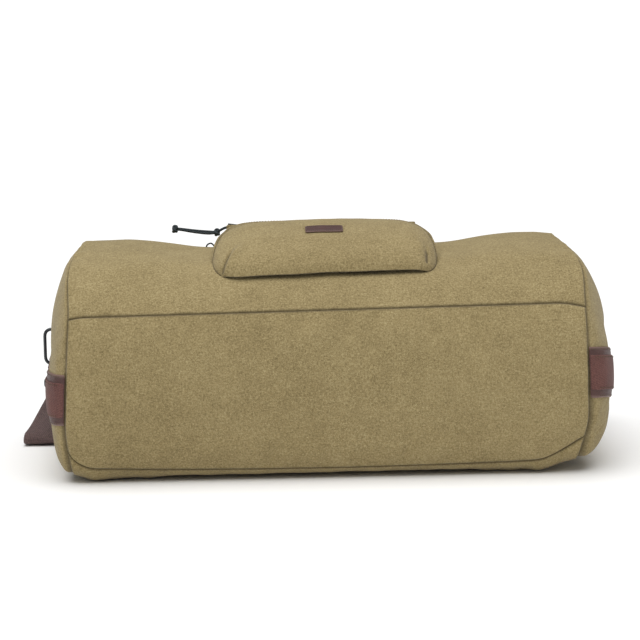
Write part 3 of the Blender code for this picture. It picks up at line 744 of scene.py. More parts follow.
def skin_rows():
    """(panel, share within the panel, distance to a long seam) for each row, bottom seam to bottom seam."""
    rows = []
    for panel, length, tight_start, tight_end, step in (
            ("base", 0.160, True, True, 0.0047), ("front", 0.197, True, False, 0.0047),
            ("lip_front", 0.098, False, False, 0.0047), ("slit", 0.022, False, False, 0.0055),
            ("lip_back", 0.062, False, False, 0.0047), ("back", 0.270, False, True, 0.0052)):
        for share in spread(length, tight_start, tight_end, step)[:-1]:
            distance = min(share * length if tight_start else 1.0, (1 - share) * length if tight_end else 1.0)
            rows.append((panel, share, distance))
    rows.append(("back", 1.0, 0.0))
    return rows


def row_place(panel, share, across):
    """The place on the section of a row at one share of the bag's length."""
    low = bottom_seam_place(across)
    high = top_seam_place(across)
    ends = {"base": (low, high), "front": (high, FRONT_HINGE), "lip_front": (FRONT_HINGE, LIP_FRONT),
            "slit": (LIP_FRONT, LIP_BACK), "lip_back": (LIP_BACK, BACK_HINGE),
            "back": (BACK_HINGE, TOTAL + low)}
    start, end = ends[panel]
    return start + (end - start) * share


ROWS = skin_rows()
GUSSET = MOUTH_HALF / HALF_LENGTH
SIDE = spread(HALF_LENGTH - MOUTH_HALF, False, True, 0.0045)
MIDDLE_COLUMNS = [-GUSSET + 2 * GUSSET * i / 92 for i in range(93)]
COLUMNS = [-GUSSET - (1 - GUSSET) * s for s in reversed(SIDE)][:-1] + MIDDLE_COLUMNS
COLUMNS += [GUSSET + (1 - GUSSET) * s for s in SIDE][1:]
SKIN_FLOOR = 0.0008
CAP_RINGS = [1.0, 0.988, 0.975, 0.958, 0.935, 0.90, 0.86, 0.81, 0.76, 0.70, 0.64, 0.57, 0.50, 0.42, 0.33,
             0.22, 0.11, 0.0]
PARTS = ["base", "front", "lip_front", "slit", "lip_back", "back", "gusset_left", "gusset_right",
         "cap_left", "cap_right"]


def dent(spot):
    """Slow unevenness of the stuffing, in metres."""
    slow = noise.noise(spot * 9.0 + Vector((3.1, 0.4, 7.7))) * 0.0016
    return slow + noise.noise(spot * 27.0) * 0.0007


def cap_point(side, rim, scale):
    """A point of an end cap: scale 1 on the seam, 0 at the crown; its lower half is fuller."""
    crown = CROWN[side]
    arm = rim - crown
    up = arm.z / max(math.hypot(arm.y, arm.z), 1e-6)
    power = 2.3 + 1.6 * (1 - ease(-0.6, 0.9, up))
    curve = (1 - scale**power) ** (0.60 + 0.35 * ease(-0.3, 0.9, up))
    return Vector((rim.x + (crown.x - rim.x) * curve, crown.y + arm.y * scale, crown.z + arm.z * scale))


def make_shell():
    """The whole skin as one closed bmesh, with each face's part and each corner's distance to a seam."""
    last = len(ROWS) - 1
    width = len(COLUMNS) - 1

    def tube_spot(i, j):
        panel, share, _ = ROWS[j]
        return skin_point(COLUMNS[i], row_place(panel, share, COLUMNS[i]))

    girth = lengths_along([tube_spot(width // 2, j) for j in range(last + 1)])
    shell = bmesh.new()
    shell.loops.layers.uv.new("metres")
    shell.faces.layers.int.new("part")
    seam_of = shell.verts.layers.float.new("seam")
    for piece in ("tube", "left", "right"):
        if piece == "tube":
            grid, spots = mapped_grid(width, last, tube_spot,
                                      lambda i, j: (COLUMNS[i] * HALF_LENGTH, girth[j]))
        else:
            side = -1 if piece == "left" else 1
            edge = 0 if side < 0 else width
            rims = [tube_spot(edge, j) for j in range(last + 1)]
            grid, spots = mapped_grid(len(CAP_RINGS) - 1, last,
                                      lambda i, j: cap_point(side, rims[j], CAP_RINGS[i]),
                                      lambda i, j: ((rims[j].y - CROWN[side].y) * CAP_RINGS[i],
                                                    (rims[j].z - CROWN[side].z) * CAP_RINGS[i]))
        tag = grid.faces.layers.int["part"]
        seam = grid.verts.layers.float["seam"]
        for vert, (i, j) in spots.items():
            if piece == "tube":
                end = (1 - abs(COLUMNS[i])) * HALF_LENGTH
                vert[seam] = min(end, ROWS[j][2])
            else:
                vert[seam] = (1 - CAP_RINGS[i]) * 0.11
        for face in grid.faces:
            i = sum(spots[v][0] for v in face.verts) / 4
            j = min(spots[v][1] for v in face.verts)
            name = ROWS[j][0]
            if piece != "tube":
                name = f"cap_{piece}"
            elif name in ("lip_front", "slit", "lip_back"):
                middle = (COLUMNS[int(i)] + COLUMNS[int(i) + 1]) / 2
                if abs(middle) > GUSSET:
                    name = "gusset_left" if middle < 0 else "gusset_right"
            face[tag] = PARTS.index(name)
        made = bpy.data.meshes.new("grid")
        grid.to_mesh(made)
        grid.free()
        shell.from_mesh(made)
        bpy.data.meshes.remove(made)
    bmesh.ops.remove_doubles(shell, verts=shell.verts, dist=2e-6)
    bmesh.ops.recalc_face_normals(shell, faces=shell.faces)
    shell.normal_update()
    moves = []
    for vert in shell.verts:
        away = vert[seam_of]
        crease = 0.0021 * math.exp(-(away / 0.0015) ** 2)
        settle = 1.0 - math.exp(-(away / 0.02) ** 2)
        puckers = noise.noise(Vector((vert.co.x * 75, vert.co.y * 75, vert.co.z * 75))) * 0.0009
        pucker = puckers * math.exp(-((away - 0.008) / 0.007) ** 2)
        moves.append(vert.normal * (dent(vert.co) * settle - crease + pucker))
    for vert, move in zip(shell.verts, moves):
        vert.co += move
        vert.co.z = max(vert.co.z, SKIN_FLOOR)
    return shell


shell = make_shell()
print("shell:", len(shell.verts), "corners,", sum(1 for e in shell.edges if e.is_boundary), "open edges")

# %% [markdown]
# Stuffing presses the canvas outwards, and the seams hold it back. A short cloth simulation with air
# pressure inside and the seams pinned gives that tension, with small pulls near the sewing that are
# hard to draw by hand. How far a point may move is capped, so the bag keeps its measured shape.

# %% Fill the shell
SIM_FRAMES = 16
SIM_CAP = 0.0018
PINNED_WITHIN = 0.0012
ZIP_END_X = 0.216
ZIP_END_Y = 0.2488 - REST_Y


def fill_shell(bm):
    """Inflate the shell with its seams pinned, and cap the movement."""
    seam = bm.verts.layers.float["seam"]
    pins = [v.index for v in bm.verts if v[seam] < PINNED_WITHIN]
    mesh = bpy.data.meshes.new("shell")
    bm.to_mesh(mesh)
    obj = bpy.data.objects.new("shell", mesh)
    bpy.context.scene.collection.objects.link(obj)
    obj.vertex_groups.new(name="sewn").add(pins, 1.0, "REPLACE")
    cloth = obj.modifiers.new("cloth", "CLOTH")
    settings = cloth.settings
    settings.quality = 4
    settings.mass = 0.3
    settings.tension_stiffness = 18
    settings.compression_stiffness = 12
    settings.shear_stiffness = 6
    settings.bending_stiffness = 0.6
    settings.effector_weights.gravity = 0
    settings.vertex_group_mass = "sewn"
    settings.use_pressure = True
    settings.uniform_pressure_force = 3.5
    settings.shrink_min = -0.015
    cloth.collision_settings.use_collision = False
    cloth.point_cache.frame_start = 1
    cloth.point_cache.frame_end = SIM_FRAMES
    scene = bpy.context.scene
    for frame_number in range(1, SIM_FRAMES + 1):
        scene.frame_set(frame_number)
    filled = obj.evaluated_get(bpy.context.evaluated_depsgraph_get()).to_mesh()
    moved = 0.0
    bm.verts.ensure_lookup_table()
    for vert, after in zip(bm.verts, filled.vertices):
        move = after.co - vert.co
        if move.length > SIM_CAP:
            move = move.normalized() * SIM_CAP
        moved = max(moved, move.length)
        vert.co = vert.co + move
        vert.co.z = max(vert.co.z, SKIN_FLOOR)
    scene.frame_set(1)
    bpy.data.objects.remove(obj, do_unlink=True)
    bpy.data.meshes.remove(mesh)
    return moved


def flatten_zip_ends(bm):
    """Keep the skin flat beside the mouth's ends, where the slider comes to rest."""
    for vert in bm.verts:
        if abs(vert.co.x) > ZIP_END_X and vert.co.y > 0.13 and abs(vert.co.z - MOUTH_Z) < 0.013:
            vert.co.y = min(vert.co.y, ZIP_END_Y)


print("stuffing moved the canvas by up to", round(fill_shell(shell) * 1000, 1), "mm")
flatten_zip_ends(shell)

# %% [markdown]
# Now the shell is cut into the pieces that are really cut and sewn: the base, the front, the back, the
# caps, the gussets beside the mouth, and the lips of the mouth. The lips are cut at the middle too,
# because each half bends from its fixed end to the part that opens. "Blend" makes a half follow the
# bag at its end and the moving lip further in.

# %% Cut out the canvas pieces
CANVAS_THICK = 0.0016
BEND_START = 0.222
BEND_END = 0.134


def cut_piece(name, part, keep=None):
    """A canvas piece from the shell's faces of one part, and of one side of it if asked."""
    bm = shell.copy()
    tag = bm.faces.layers.int["part"]
    number = PARTS.index(part)
    spare = [f for f in bm.faces if f[tag] != number or (keep and f.calc_center_median().x * keep < 0)]
    bmesh.ops.delete(bm, geom=spare, context="FACES")
    seam = bm.verts.layers.float["seam"]
    for vert in bm.verts:
        # The distance to the seam becomes painted seam shade: 1 in the crease, fading within about 2 mm.
        vert[seam] = math.exp(-(vert[seam] / 0.0022) ** 2)
    piece = wall(dress(name, bm, CANVAS), CANVAS_THICK, round_first=True)
    return piece


def bend_with(piece, body, side):
    """A piece that stays with the bag at the mouth's end and follows a lip from further in."""
    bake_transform(piece, "bag", body, start=(side * BEND_START, 0.0, 0.0), end=(side * BEND_END, 0.0, 0.0))


SHELL_TREE = BVHTree.FromBMesh(shell)
FIXED_PANELS = {"base": "base_panel", "front": "front_panel", "back": "back_panel",
                "cap_left": "end_cap_left", "cap_right": "end_cap_right",
                "gusset_left": "mouth_gusset_left", "gusset_right": "mouth_gusset_right"}
for part, node in FIXED_PANELS.items():
    piece = cut_piece(f"canvas_{part}", part)
    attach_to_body(piece, "bag")
    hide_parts(node)
for lip in ("front", "back"):
    for side, word in WORDS.items():
        piece = cut_piece(f"canvas_lip_{lip}_{word}", f"lip_{lip}", side)
        bend_with(piece, f"mouth_{lip}", side)
        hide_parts(f"mouth_flap_{lip}")

# %% [markdown]
# The pocket is a flat bag sewn on top of the front panel. Its front is drawn from its four edges: the
# bottom seam, the two sides that climb away from the panel, and the far edge beside the zip. Between
# them it is puffed up. Two short darts at the lower corners turn the corners down, and each one throws
# a small fold beside it. The front is in two halves, so each can bend from its side when it opens.

# %% Pocket front
POCKET_BOTTOM = [(-100, 43.5), (-94, 40.6), (-84, 39), (-60, 39.3), (-30, 40), (0, 41), (30, 42), (60, 43),
                 (84, 43.8), (92, 44.4), (98, 46.5)]
POCKET_LEFT = [(-100, 43.5, 0), (-105.5, 49, 0), (-109.0, 58, 0), (-109.8, 68, 206.0), (-108.6, 79, 212.6),
               (-105.6, 90, 219.0), (-101.3, 101, 224.6), (-94.4, 120, 227.6), (-86.3, 140, 228.8),
               (-76.2, 155, 229.5)]
POCKET_RIGHT = [(98, 46.5, 0), (103.5, 50.5, 0), (107.3, 59, 0), (108.6, 68, 206.6), (107.8, 79, 213.6),
                (105.2, 90, 219.8), (101.5, 101, 225.0), (95, 120, 227.8), (87, 140, 228.8), (77, 155, 229.5)]
POCKET_FAR = [(-76.2, 155, 229.5), (-66, 163, 229.5), (-50, 168.6, 229.3), (-26, 170.4, 229.0),
              (0, 171, 229.6), (26, 170.6, 229.2), (50, 168.8, 229.2), (67, 163, 229.5), (77, 155, 229.5)]
POCKET_RIDGE = [(36, 194), (41, 197.5), (44, 204), (49, 211), (56, 217.5), (66, 224), (78, 229.5), (92, 234),
                (106, 237), (120, 238), (135, 236.8), (150, 234), (162, 231.4), (171, 229.6), (180, 227)]
DARTS = [((-99.8, 45.5), (-90.6, 64.5), 1), ((97.6, 51.0), (98.9, 65.0), -1)]
POCKET_COLUMNS = 132
POCKET_ROWS = 74
ABOVE_SKIN = 0.0004


def skin_height(x, y):
    """Height of the bag's skin under a point."""
    hit = SHELL_TREE.ray_cast(Vector((x, y - REST_Y, 0.4)), Vector((0.0, 0.0, -1.0)))[0]
    return hit.z


def edge_curve(points, steps=10):
    """A smooth pocket edge in metres; a height of 0, or none, means that it lies on the skin."""
    spots = [Vector((p[0] / 1000, p[1] / 1000, (p[2] if len(p) > 2 else 0) / 1000)) for p in points]
    for spot in spots:
        spot.z = spot.z or skin_height(spot.x, spot.y) + ABOVE_SKIN
    path = spline(spots, steps)
    for spot in path:
        spot.z = max(spot.z, skin_height(spot.x, spot.y) + ABOVE_SKIN)
    return path


def at_share(path, share):
    """A point of a path at a share of its control steps."""
    index = min(max(share, 0.0), 1.0) * (len(path) - 1)
    low = min(int(index), len(path) - 2)
    return path[low].lerp(path[low + 1], index - low)


BOTTOM, LEFT = edge_curve(POCKET_BOTTOM), edge_curve(POCKET_LEFT)
RIGHT, FAR = edge_curve(POCKET_RIGHT), edge_curve(POCKET_FAR)
RIDGE = spline([Vector((y / 1000, z / 1000)) for y, z in POCKET_RIDGE], 12)


def ridge_height(y):
    """Height of the pocket's middle line at a distance from the base."""
    for a, b in zip(RIDGE, RIDGE[1:]):
        if a.x <= y <= b.x:
            return a.y + (b.y - a.y) * (y - a.x) / (b.x - a.x)
    return RIDGE[-1].y


def patch_point(u, v):
    """A point of the sheet stretched between the four edges."""
    sides = at_share(LEFT, v) * (1 - u) + at_share(RIGHT, v) * u
    ends = at_share(BOTTOM, u) * (1 - v) + at_share(FAR, u) * v
    corners = (BOTTOM[0] * (1 - u) + BOTTOM[-1] * u) * (1 - v) + (FAR[0] * (1 - u) + FAR[-1] * u) * v
    return sides + ends - corners


def dart_marks(x, y):
    """How deep in a dart's groove a point is, from 0 to 1, and how high the fold beside it is."""
    groove = fold = 0.0
    here = Vector((x, y)) * 1000
    for start, end, turn in DARTS:
        start, end = Vector(start), Vector(end)
        line = end - start
        reach = (here - start).dot(line) / line.length_squared
        share = min(max(reach, 0.0), 1.0)
        away = (here - (start + line * share)).length
        fade = 1 - ease(0.75, 1.0, share)
        groove = max(groove, math.exp(-(away / 1.5) ** 2) * (0.35 + 0.65 * fade))
        across = turn * (line.y * (here.x - start.x) - line.x * (here.y - start.y)) / line.length
        lift = math.exp(-((across - 7.0) / 5.0) ** 2) * math.exp(-((reach - 0.80) / 0.55) ** 2)
        beside = 1 if 0 < share or here.y > start.y else 0.3
        fold = max(fold, lift * (0.0042 if turn > 0 else 0.0016) * beside)
        dip = math.exp(-((across - 15.0) / 5.0) ** 2) * math.exp(-((reach - 0.9) / 0.5) ** 2)
        fold -= dip * (0.0016 if turn > 0 else 0.0004)
    return groove, fold


def crowded(share, amount=0.62):
    """Bring the middle of 0 to 1 apart and its ends together."""
    return share * (1 - amount) + amount * (0.5 - 0.5 * math.cos(math.pi * share))


def pocket_point(i, j):
    """A corner of the pocket front's mesh and its painted shade along the rim and in the darts."""
    u, v = crowded(i / POCKET_COLUMNS), crowded(j / POCKET_ROWS, 0.5)
    spot = patch_point(u, v)
    middle = patch_point(0.5, v)
    rise = max(ridge_height(middle.y) - middle.z, 0.0)
    side = abs(2 * u - 1)
    spot.z += rise * (1 - side ** (2.5 if u < 0.5 else 3.0)) ** 0.80
    lean = (1 - side ** 6) * math.sin(math.pi * min(v * 4.0, 1.0)) * 0.0018
    spot.y -= lean
    groove, fold = dart_marks(spot.x, spot.y)
    wave = noise.noise(Vector((spot.x * 22, spot.y * 26, 4.2))) * 0.0009 + noise.noise(spot * 60) * 0.0004
    inside = min(u, 1 - u, v, 1 - v)
    settle = ease(0.0, 0.08, inside)
    rim = min(min(u, 1 - u) * 0.21, min(v, 1 - v) * 0.13)
    sunk = 0.0010 * math.exp(-(rim / 0.0018) ** 2) * ease(0.25, 0.4, v)
    spot.z += (wave + fold) * settle - groove * 0.0034 - sunk
    # Painted shade along the sewn rim of the pocket; the darts' grooves are shaded as well.
    dark = math.exp(-(rim / 0.0014) ** 2) * (1.0 if v < 0.5 else 0.85)
    return Vector((spot.x, spot.y - REST_Y, spot.z)), max(dark, groove)


def make_pocket_half(side, word):
    """One half of the pocket's front."""
    half = POCKET_COLUMNS // 2
    start = 0 if side < 0 else half
    marks = {}

    def where(i, j):
        spot, dark = pocket_point(start + i, j)
        marks[i, j] = dark
        return spot

    bm, spots = mapped_grid(half, POCKET_ROWS, where, lambda i, j: ((start + i) * 0.00165, j * 0.0019))
    # The seam value carries the painted shade of the rim and the darts.
    seam = bm.verts.layers.float["seam"]
    for vert, spot in spots.items():
        vert[seam] = marks[spot]
    face_towards(bm, Vector((0.0, 0.0, 1.0)))
    tree = BVHTree.FromBMesh(bm)
    obj = wall(dress(f"pocket_face_{word}", bm, CANVAS), CANVAS_THICK, round_first=True)
    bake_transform(obj, "bag", "pocket_lip", start=(side * 0.108, 0.0, 0.0), end=(side * 0.030, 0.0, 0.0))
    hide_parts("pocket_front")
    return tree


POCKET_TREES = {side: make_pocket_half(side, word) for side, word in WORDS.items()}
print("pocket front made")

# %% [markdown]
# A strip of canvas, the gusset, joins the front to the panel along the sides and the far edge. It
# starts as nothing beside the darts and gets wider towards the far corners, where it rolls outwards.
# The zip is sewn into its far side. A row of stitches shows where front and gusset meet.

# %% Pocket gusset
GUSSET_SEAM = ([Vector(p) for p in LEFT[30:]] + [Vector(p) for p in FAR[1:-1]]
               + [Vector(p) for p in reversed(RIGHT[30:])])
GUSSET_ROLL = [(0.0, -0.0006), (0.22, 0.0012), (0.50, 0.0016), (0.80, 0.0), (0.97, -0.0035), (1.0, -0.0085)]


def gusset_frames():
    """(seam point, outward direction, width) along the gusset."""
    frames = []
    last = len(GUSSET_SEAM) - 1
    for k, here in enumerate(GUSSET_SEAM):
        ahead = GUSSET_SEAM[min(k + 2, last)] - GUSSET_SEAM[max(k - 2, 0)]
        out = Vector((-ahead.y, ahead.x, 0.0)).normalized()
        corner = math.exp(-((abs(here.x) - 0.080) / 0.020) ** 2) * ease(0.105, 0.145, here.y)
        width = 0.0008 + 0.0034 * ease(0.066, 0.10, here.y) + 0.0068 * corner
        frames.append((here, out, width))
    return frames


def make_gusset():
    """The gusset's sheet, from the seam outwards and down to the skin."""
    frames = gusset_frames()
    rows = len(GUSSET_ROLL) + 3

    def where(k, j):
        here, out, width = frames[k]
        if j < len(GUSSET_ROLL):
            reach, lift = GUSSET_ROLL[j]
            ground = skin_height(here.x + out.x * width * reach, here.y + out.y * width * reach)
            tall = min(max(here.z - ground, 0.0) / 0.016, 1.0)
            spot = here + out * width * reach + Vector((0.0, 0.0, lift * tall * tall))
            spot.z = max(spot.z, ground + 0.0002)
        else:
            share = (j - len(GUSSET_ROLL) + 1) / (rows - len(GUSSET_ROLL))
            top = where(k, len(GUSSET_ROLL) - 1)
            spot = Vector((top.x, top.y + REST_Y, top.z)) - out * 0.0012 * share**2
            ground = skin_height(spot.x, spot.y) - 0.0008
            spot.z += (ground - spot.z) * share
        return Vector((spot.x, spot.y - REST_Y, spot.z))

    bm, spots = mapped_grid(len(frames) - 1, rows - 1, where, lambda k, j: (k * 0.004, j * 0.003))
    seam = bm.verts.layers.float["seam"]
    for vert, (k, j) in spots.items():
        # Painted shade at the sewn edge and at the foot on the panel, carried by the seam value.
        vert[seam] = {0: 0.8, 1: 0.25, rows - 1: 1.0, rows - 2: 0.3}.get(j, 0.0)
    bmesh.ops.recalc_face_normals(bm, faces=bm.faces)
    top = max(bm.faces, key=lambda f: f.calc_center_median().z)
    if top.normal.z < 0:
        bmesh.ops.reverse_faces(bm, faces=bm.faces)
    obj = wall(dress("pocket_side", bm, CANVAS), 0.0014, round_first=True)
    attach(obj, "bag", "pocket_gusset")
    sewn = [Vector((p.x + out.x * width * 0.3, p.y + out.y * width * 0.3 - REST_Y, p.z + 0.0016))
            for p, out, width in frames[22:-22]]
    row = stitches("pocket_side_stitches", sewn, [Vector((0, 0, 1))] * len(sewn), 0.0030,
                   (0.0022, 0.0006, 0.0005), SAND_THREAD)
    attach(row, "bag")


make_gusset()
print("gusset made with", len(GUSSET_SEAM), "steps")

# %% [markdown]
# The label is a small leather tab on the pocket, bent with the canvas below it, with rounded corners
# and one row of pale stitches just inside its edge. It stays plain, with nothing printed on it.

# %% Label
def make_label():
    """A leather label draped on the pocket, and its stitches."""
    centre = Vector((-0.0003, 0.087 - REST_Y, 0.0))
    half = Vector((0.0186, 0.0066, 0.0))
    round_by = 0.0022
    columns, rows = 40, 16

    def drop(x, y, lift):
        tree = POCKET_TREES[-1 if x < 0 else 1]
        spot, normal = tree.ray_cast(Vector((x, y, 0.4)), Vector((0.0, 0.0, -1.0)))[:2]
        normal = Vector((0.0, normal.y, normal.z)).normalized()
        return spot + normal * lift

    def flat(a, b):
        x, y = half.x * a, half.y * b
        over_x, over_y = abs(x) - (half.x - round_by), abs(y) - (half.y - round_by)
        if over_x > 0 and over_y > 0:
            far = math.hypot(over_x, over_y)
            most = max(over_x, over_y)
            shrink = most / far
            x = math.copysign(half.x - round_by + over_x * shrink, x)
            y = math.copysign(half.y - round_by + over_y * shrink, y)
        return centre.x + x, centre.y + y

    def where(i, j):
        return drop(*flat(2 * i / columns - 1, 2 * j / rows - 1), 0.0019)

    bm, _ = mapped_grid(columns, rows, where, lambda i, j: (i / columns * 0.037, j / rows * 0.013))
    edge = bm.verts.layers.float["edge"]
    for vert in bm.verts:
        vert[edge] = 1.0 if vert.is_boundary else 0.0
    label = wall(dress("pocket_tab", bm, LEATHER), 0.0013)
    path = []
    for a, b in once_round(20, 8):
        x, y = flat(a * 0.915, b * 0.79)
        path.append(drop(x, y, 0.0021))
    row = stitches("pocket_tab_stitches", path, [Vector((0, -0.3, 1))] * len(path), 0.0021,
                   (0.0015, 0.0005, 0.0005), LABEL_THREAD)
    attach(label, "pocket_lip", "pocket_label")
    attach(row, "pocket_lip")


LABEL_THREAD = make_plain("pale_brown_thread", (0.16, 0.115, 0.10), (0.27, 0.21, 0.185), 0.7, 0.0, 0.0001)
make_label()
print("label made")

# %% [markdown]
# Both zips are made the same way: a woven tape, a row of small teeth and a slider. The long zip has two
# tapes whose teeth sit between each other. Each lip's tape and teeth are halves as well, so they bend
# with the canvas. Every tooth is one small block, and one bevel rounds them all.

# %% Zips
ZIP_Y = 0.2462 - 0.0030
TOOTH = 0.0020
TUCKED = 0.009
TOOTH_WIDE = 0.0011
TAPE_INNER = 0.0006
TAPE_OUTER = 0.017


def tooth_row(name, first, last, place, size):
    """A row of small rounded teeth along x, from first to last."""
    bm = bmesh.new()
    count = int(abs(last - first) / TOOTH)
    for k in range(count):
        x = first + (last - first) * (k + 0.5) / count
        spot = Vector((x, place.y, place.z))
        bmesh.ops.create_cube(bm, size=1.0, matrix=Matrix.LocRotScale(spot, None, size))
    bmesh.ops.bevel(bm, geom=bm.edges[:], offset=min(size) * 0.28, offset_type="OFFSET", segments=1,
                    profile=0.5, affect="EDGES", material=-1)
    return dress(name, bm, ZIP_TEETH)


def tape(name, low, high, finish, facing):
    """A flat woven tape between two corners, thin along facing."""
    middle = (Vector(low) + Vector(high)) / 2
    path = [(low[0] + (high[0] - low[0]) * k / 12, middle.y, middle.z) for k in range(13)]
    return strip(name, path, [facing] * 13, high[2] - low[2], abs(high[1] - low[1]), finish, steps=4,
                 columns=4)


for part, sign in (("front", 1), ("back", -1)):
    for side, word in WORDS.items():
        end = side * (MOUTH_HALF + TUCKED)
        heights = sorted((sign * TAPE_INNER, sign * TAPE_OUTER))
        low = (min(0.0, end), ZIP_Y - 0.0010 - REST_Y, MOUTH_Z + heights[0])
        high = (max(0.0, end), ZIP_Y - REST_Y, MOUTH_Z + heights[1])
        band = tape(f"mouth_tape_{part}_{word}", low, high, STRAP_WEBBING, (0, 1, 0))
        shift = 0.0005 * sign
        middle = Vector((0, ZIP_Y + 0.0013 - REST_Y, MOUTH_Z + sign * 0.0018))
        teeth = tooth_row(f"mouth_teeth_{part}_{word}", side * 0.0005 + shift,
                          side * (MOUTH_HALF - 0.001) + shift, middle, Vector((TOOTH_WIDE, 0.0022, 0.0042)))
        bend_with(band, f"mouth_{part}", side)
        bend_with(teeth, f"mouth_{part}", side)
        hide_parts(f"zip_tape_{part}")
        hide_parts(f"zip_coil_{part}")

zip_low, zip_high = corners_of("pocket_zip_tape")
far_tape = tape("pocket_tape", tuple(zip_low), tuple(zip_high), CANVAS, (0, 1, 0))
coil_low, coil_high = corners_of("pocket_zip_coil")
far_teeth = tooth_row("pocket_teeth", coil_low.x, coil_high.x, (coil_low + coil_high) / 2,
                      Vector((TOOTH_WIDE, coil_high.y - coil_low.y, coil_high.z - coil_low.z)))
attach(far_tape, "bag", "pocket_zip_tape")
attach(far_teeth, "bag", "pocket_zip_coil")


def slider(name, node, body):
    """A slider: a shaped plate with a bridge that the cord goes under."""
    low, high = corners_of(node)
    middle = (low + high) / 2
    size = high - low
    plate = rounded_block(name, low, high, 0.0007, BLACK_METAL, taper=0.66)
    arch = [middle + Vector((size.x * a, size.y * 0.5 + b, 0.0)) for a, b in
            ((-0.40, -0.0006), (-0.36, 0.0014), (-0.12, 0.0026), (0.12, 0.0024), (0.30, 0.0012),
             (0.34, -0.0006))]
    bridge = tube(f"{name}_bridge", spline(arch, 5), 0.0008, BLACK_METAL, sides=10)
    attach(plate, body, node)
    attach(bridge, body)


slider("mouth_slider", "main_zip_slider", "main_slider")
slider("pocket_slider_plate", "pocket_zip_slider", "pocket_slider")
print("zips made")

# %% [markdown]
# Each end carries a leather band with webbing sewn along its middle. They are laid on the cap by
# looking straight at it from the side, so they follow its bulge. The band isn't level: it follows the
# way the stuffing has turned the cap. The webbing ends in a loop round the straight bar of a ring.

# %% End bands
BAND_Y = (0.004, 0.010, 0.030, 0.060, 0.100, 0.140, 0.175, 0.205, 0.226)
BAND_Z = {-1: (0.0845, 0.0840, 0.0830, 0.0808, 0.0785, 0.0795, 0.0830, 0.0875, 0.0905),
          1: (0.1010, 0.1000, 0.0960, 0.0895, 0.0815, 0.0780, 0.0775, 0.0790, 0.0810)}
RING_BARS = {-1: Vector((-0.2675, 0.2470, 0.0922)), 1: Vector((0.2625, 0.2545, 0.0830))}
STITCH_ROWS = ((-0.0150, 0.0034), (0.0150, 0.0034), (-0.0228, 0.0019), (0.0228, 0.0019))
LOOP_REACH = 0.0036
LOOP_TURNS = [math.radians(turn) for turn in range(0, 211, 30)]


def cap_spot(side, y, z, lift):
    """A point above the cap, seen from straight beside it."""
    rim = skin_point(side, 2.0 + (z - 0.090) / 0.042)
    found = SHELL_TREE.ray_cast(Vector((side * 0.4, y - REST_Y, z)), Vector((-side, 0.0, 0.0)))
    if y - REST_Y < rim.y + 0.0022 or found[0] is None or found[0].x * side < abs(rim.x) - 0.002:
        return rim + Vector((side * lift * 0.5, -0.0006, 0.0))
    normal = (found[1] + Vector((side * 1.2, 0.0, 0.0))).normalized()
    return found[0] + normal * lift


def band_line(side, y):
    """Height of the band's middle line."""
    for k in range(len(BAND_Y) - 1):
        if y <= BAND_Y[k + 1]:
            break
    share = min(max((y - BAND_Y[k]) / (BAND_Y[k + 1] - BAND_Y[k]), -1.0), 1.0)
    return BAND_Z[side][k] + (BAND_Z[side][k + 1] - BAND_Z[side][k]) * share


def laid_band(name, side, width, lift, thickness, finish, near, far, columns):
    """A strip laid along the cap."""
    rows = 72

    def where(i, j):
        y = near + (far - near) * j / rows
        across = 2 * i / columns - 1
        return cap_spot(side, y, band_line(side, y) + across * width / 2, lift)

    bm, spots = mapped_grid(columns, rows, where, lambda i, j: (i / columns * width, j / rows * (far - near)))
    edge = bm.verts.layers.float["edge"]
    for vert, (i, j) in spots.items():
        vert[edge] = 1.0 if i in (0, columns) else 0.0
    bmesh.ops.smooth_vert(bm, verts=[v for v in bm.verts if not v.is_boundary], factor=0.5, use_axis_x=True,
                          use_axis_y=True, use_axis_z=True)
    face_towards(bm, Vector((side, 0.0, 0.0)))
    return wall(dress(name, bm, finish), thickness)


def band_stitches(name, side, offset, lift, finish):
    """A row of stitches along the band, at a distance from its middle."""
    path = [cap_spot(side, 0.003 + 0.219 * k / 120, band_line(side, 0.003 + 0.219 * k / 120) + offset, lift)
            for k in range(121)]
    return stitches(name, path, [Vector((side, 0, 0))] * len(path), 0.0034, (0.0025, 0.0007, 0.0006), finish)


for side, word in WORDS.items():
    leather = laid_band(f"band_leather_{word}", side, 0.0500, 0.0017, 0.0016, LEATHER, -0.0010, 0.229, 14)
    webbing = laid_band(f"band_webbing_{word}", side, 0.0342, 0.0032, 0.0017, BAND_WEBBING, -0.0008, 0.231,
                        10)
    attach(leather, "bag", f"end_band_{word}")
    attach(webbing, "bag", f"end_webbing_{word}")
    for k, (offset, lift) in enumerate(STITCH_ROWS):
        row = band_stitches(f"band_stitches_{word}_{k}", side, offset, lift, THREAD)
        attach(row, "bag")
    bar = RING_BARS[side]
    near = cap_spot(side, 0.222, bar.z, 0.0062)
    low = cap_spot(side, 0.226, bar.z, 0.0030)
    centre = Vector((bar.x, bar.y - REST_Y, bar.z))
    turned = [Vector((side * math.cos(turn), math.sin(turn), 0)) for turn in LOOP_TURNS]
    on_the_way = near.lerp(centre + turned[0] * LOOP_REACH, 0.5) + Vector((side * 0.0004, 0, 0))
    loop = [near, on_the_way] + [centre + look * LOOP_REACH for look in turned] + [low]
    looks = [Vector((side, 0, 0))] * 2 + turned + [Vector((-side, 0, 0))]
    keeper = strip(f"ring_loop_{word}", loop, looks, 0.0260, 0.0017, BAND_WEBBING, steps=4, columns=6)
    attach(keeper, "bag", f"dring_keeper_{word}")
print("bands laid on both caps")

# %% [markdown]
# The rings, hooks and eyes are bent from round wire, so each is a closed tube with rounded corners.
# Each hook hangs in the lower arm of its ring, and the strap is sewn to a flat eye under its swivel.

# %% Rings and hooks


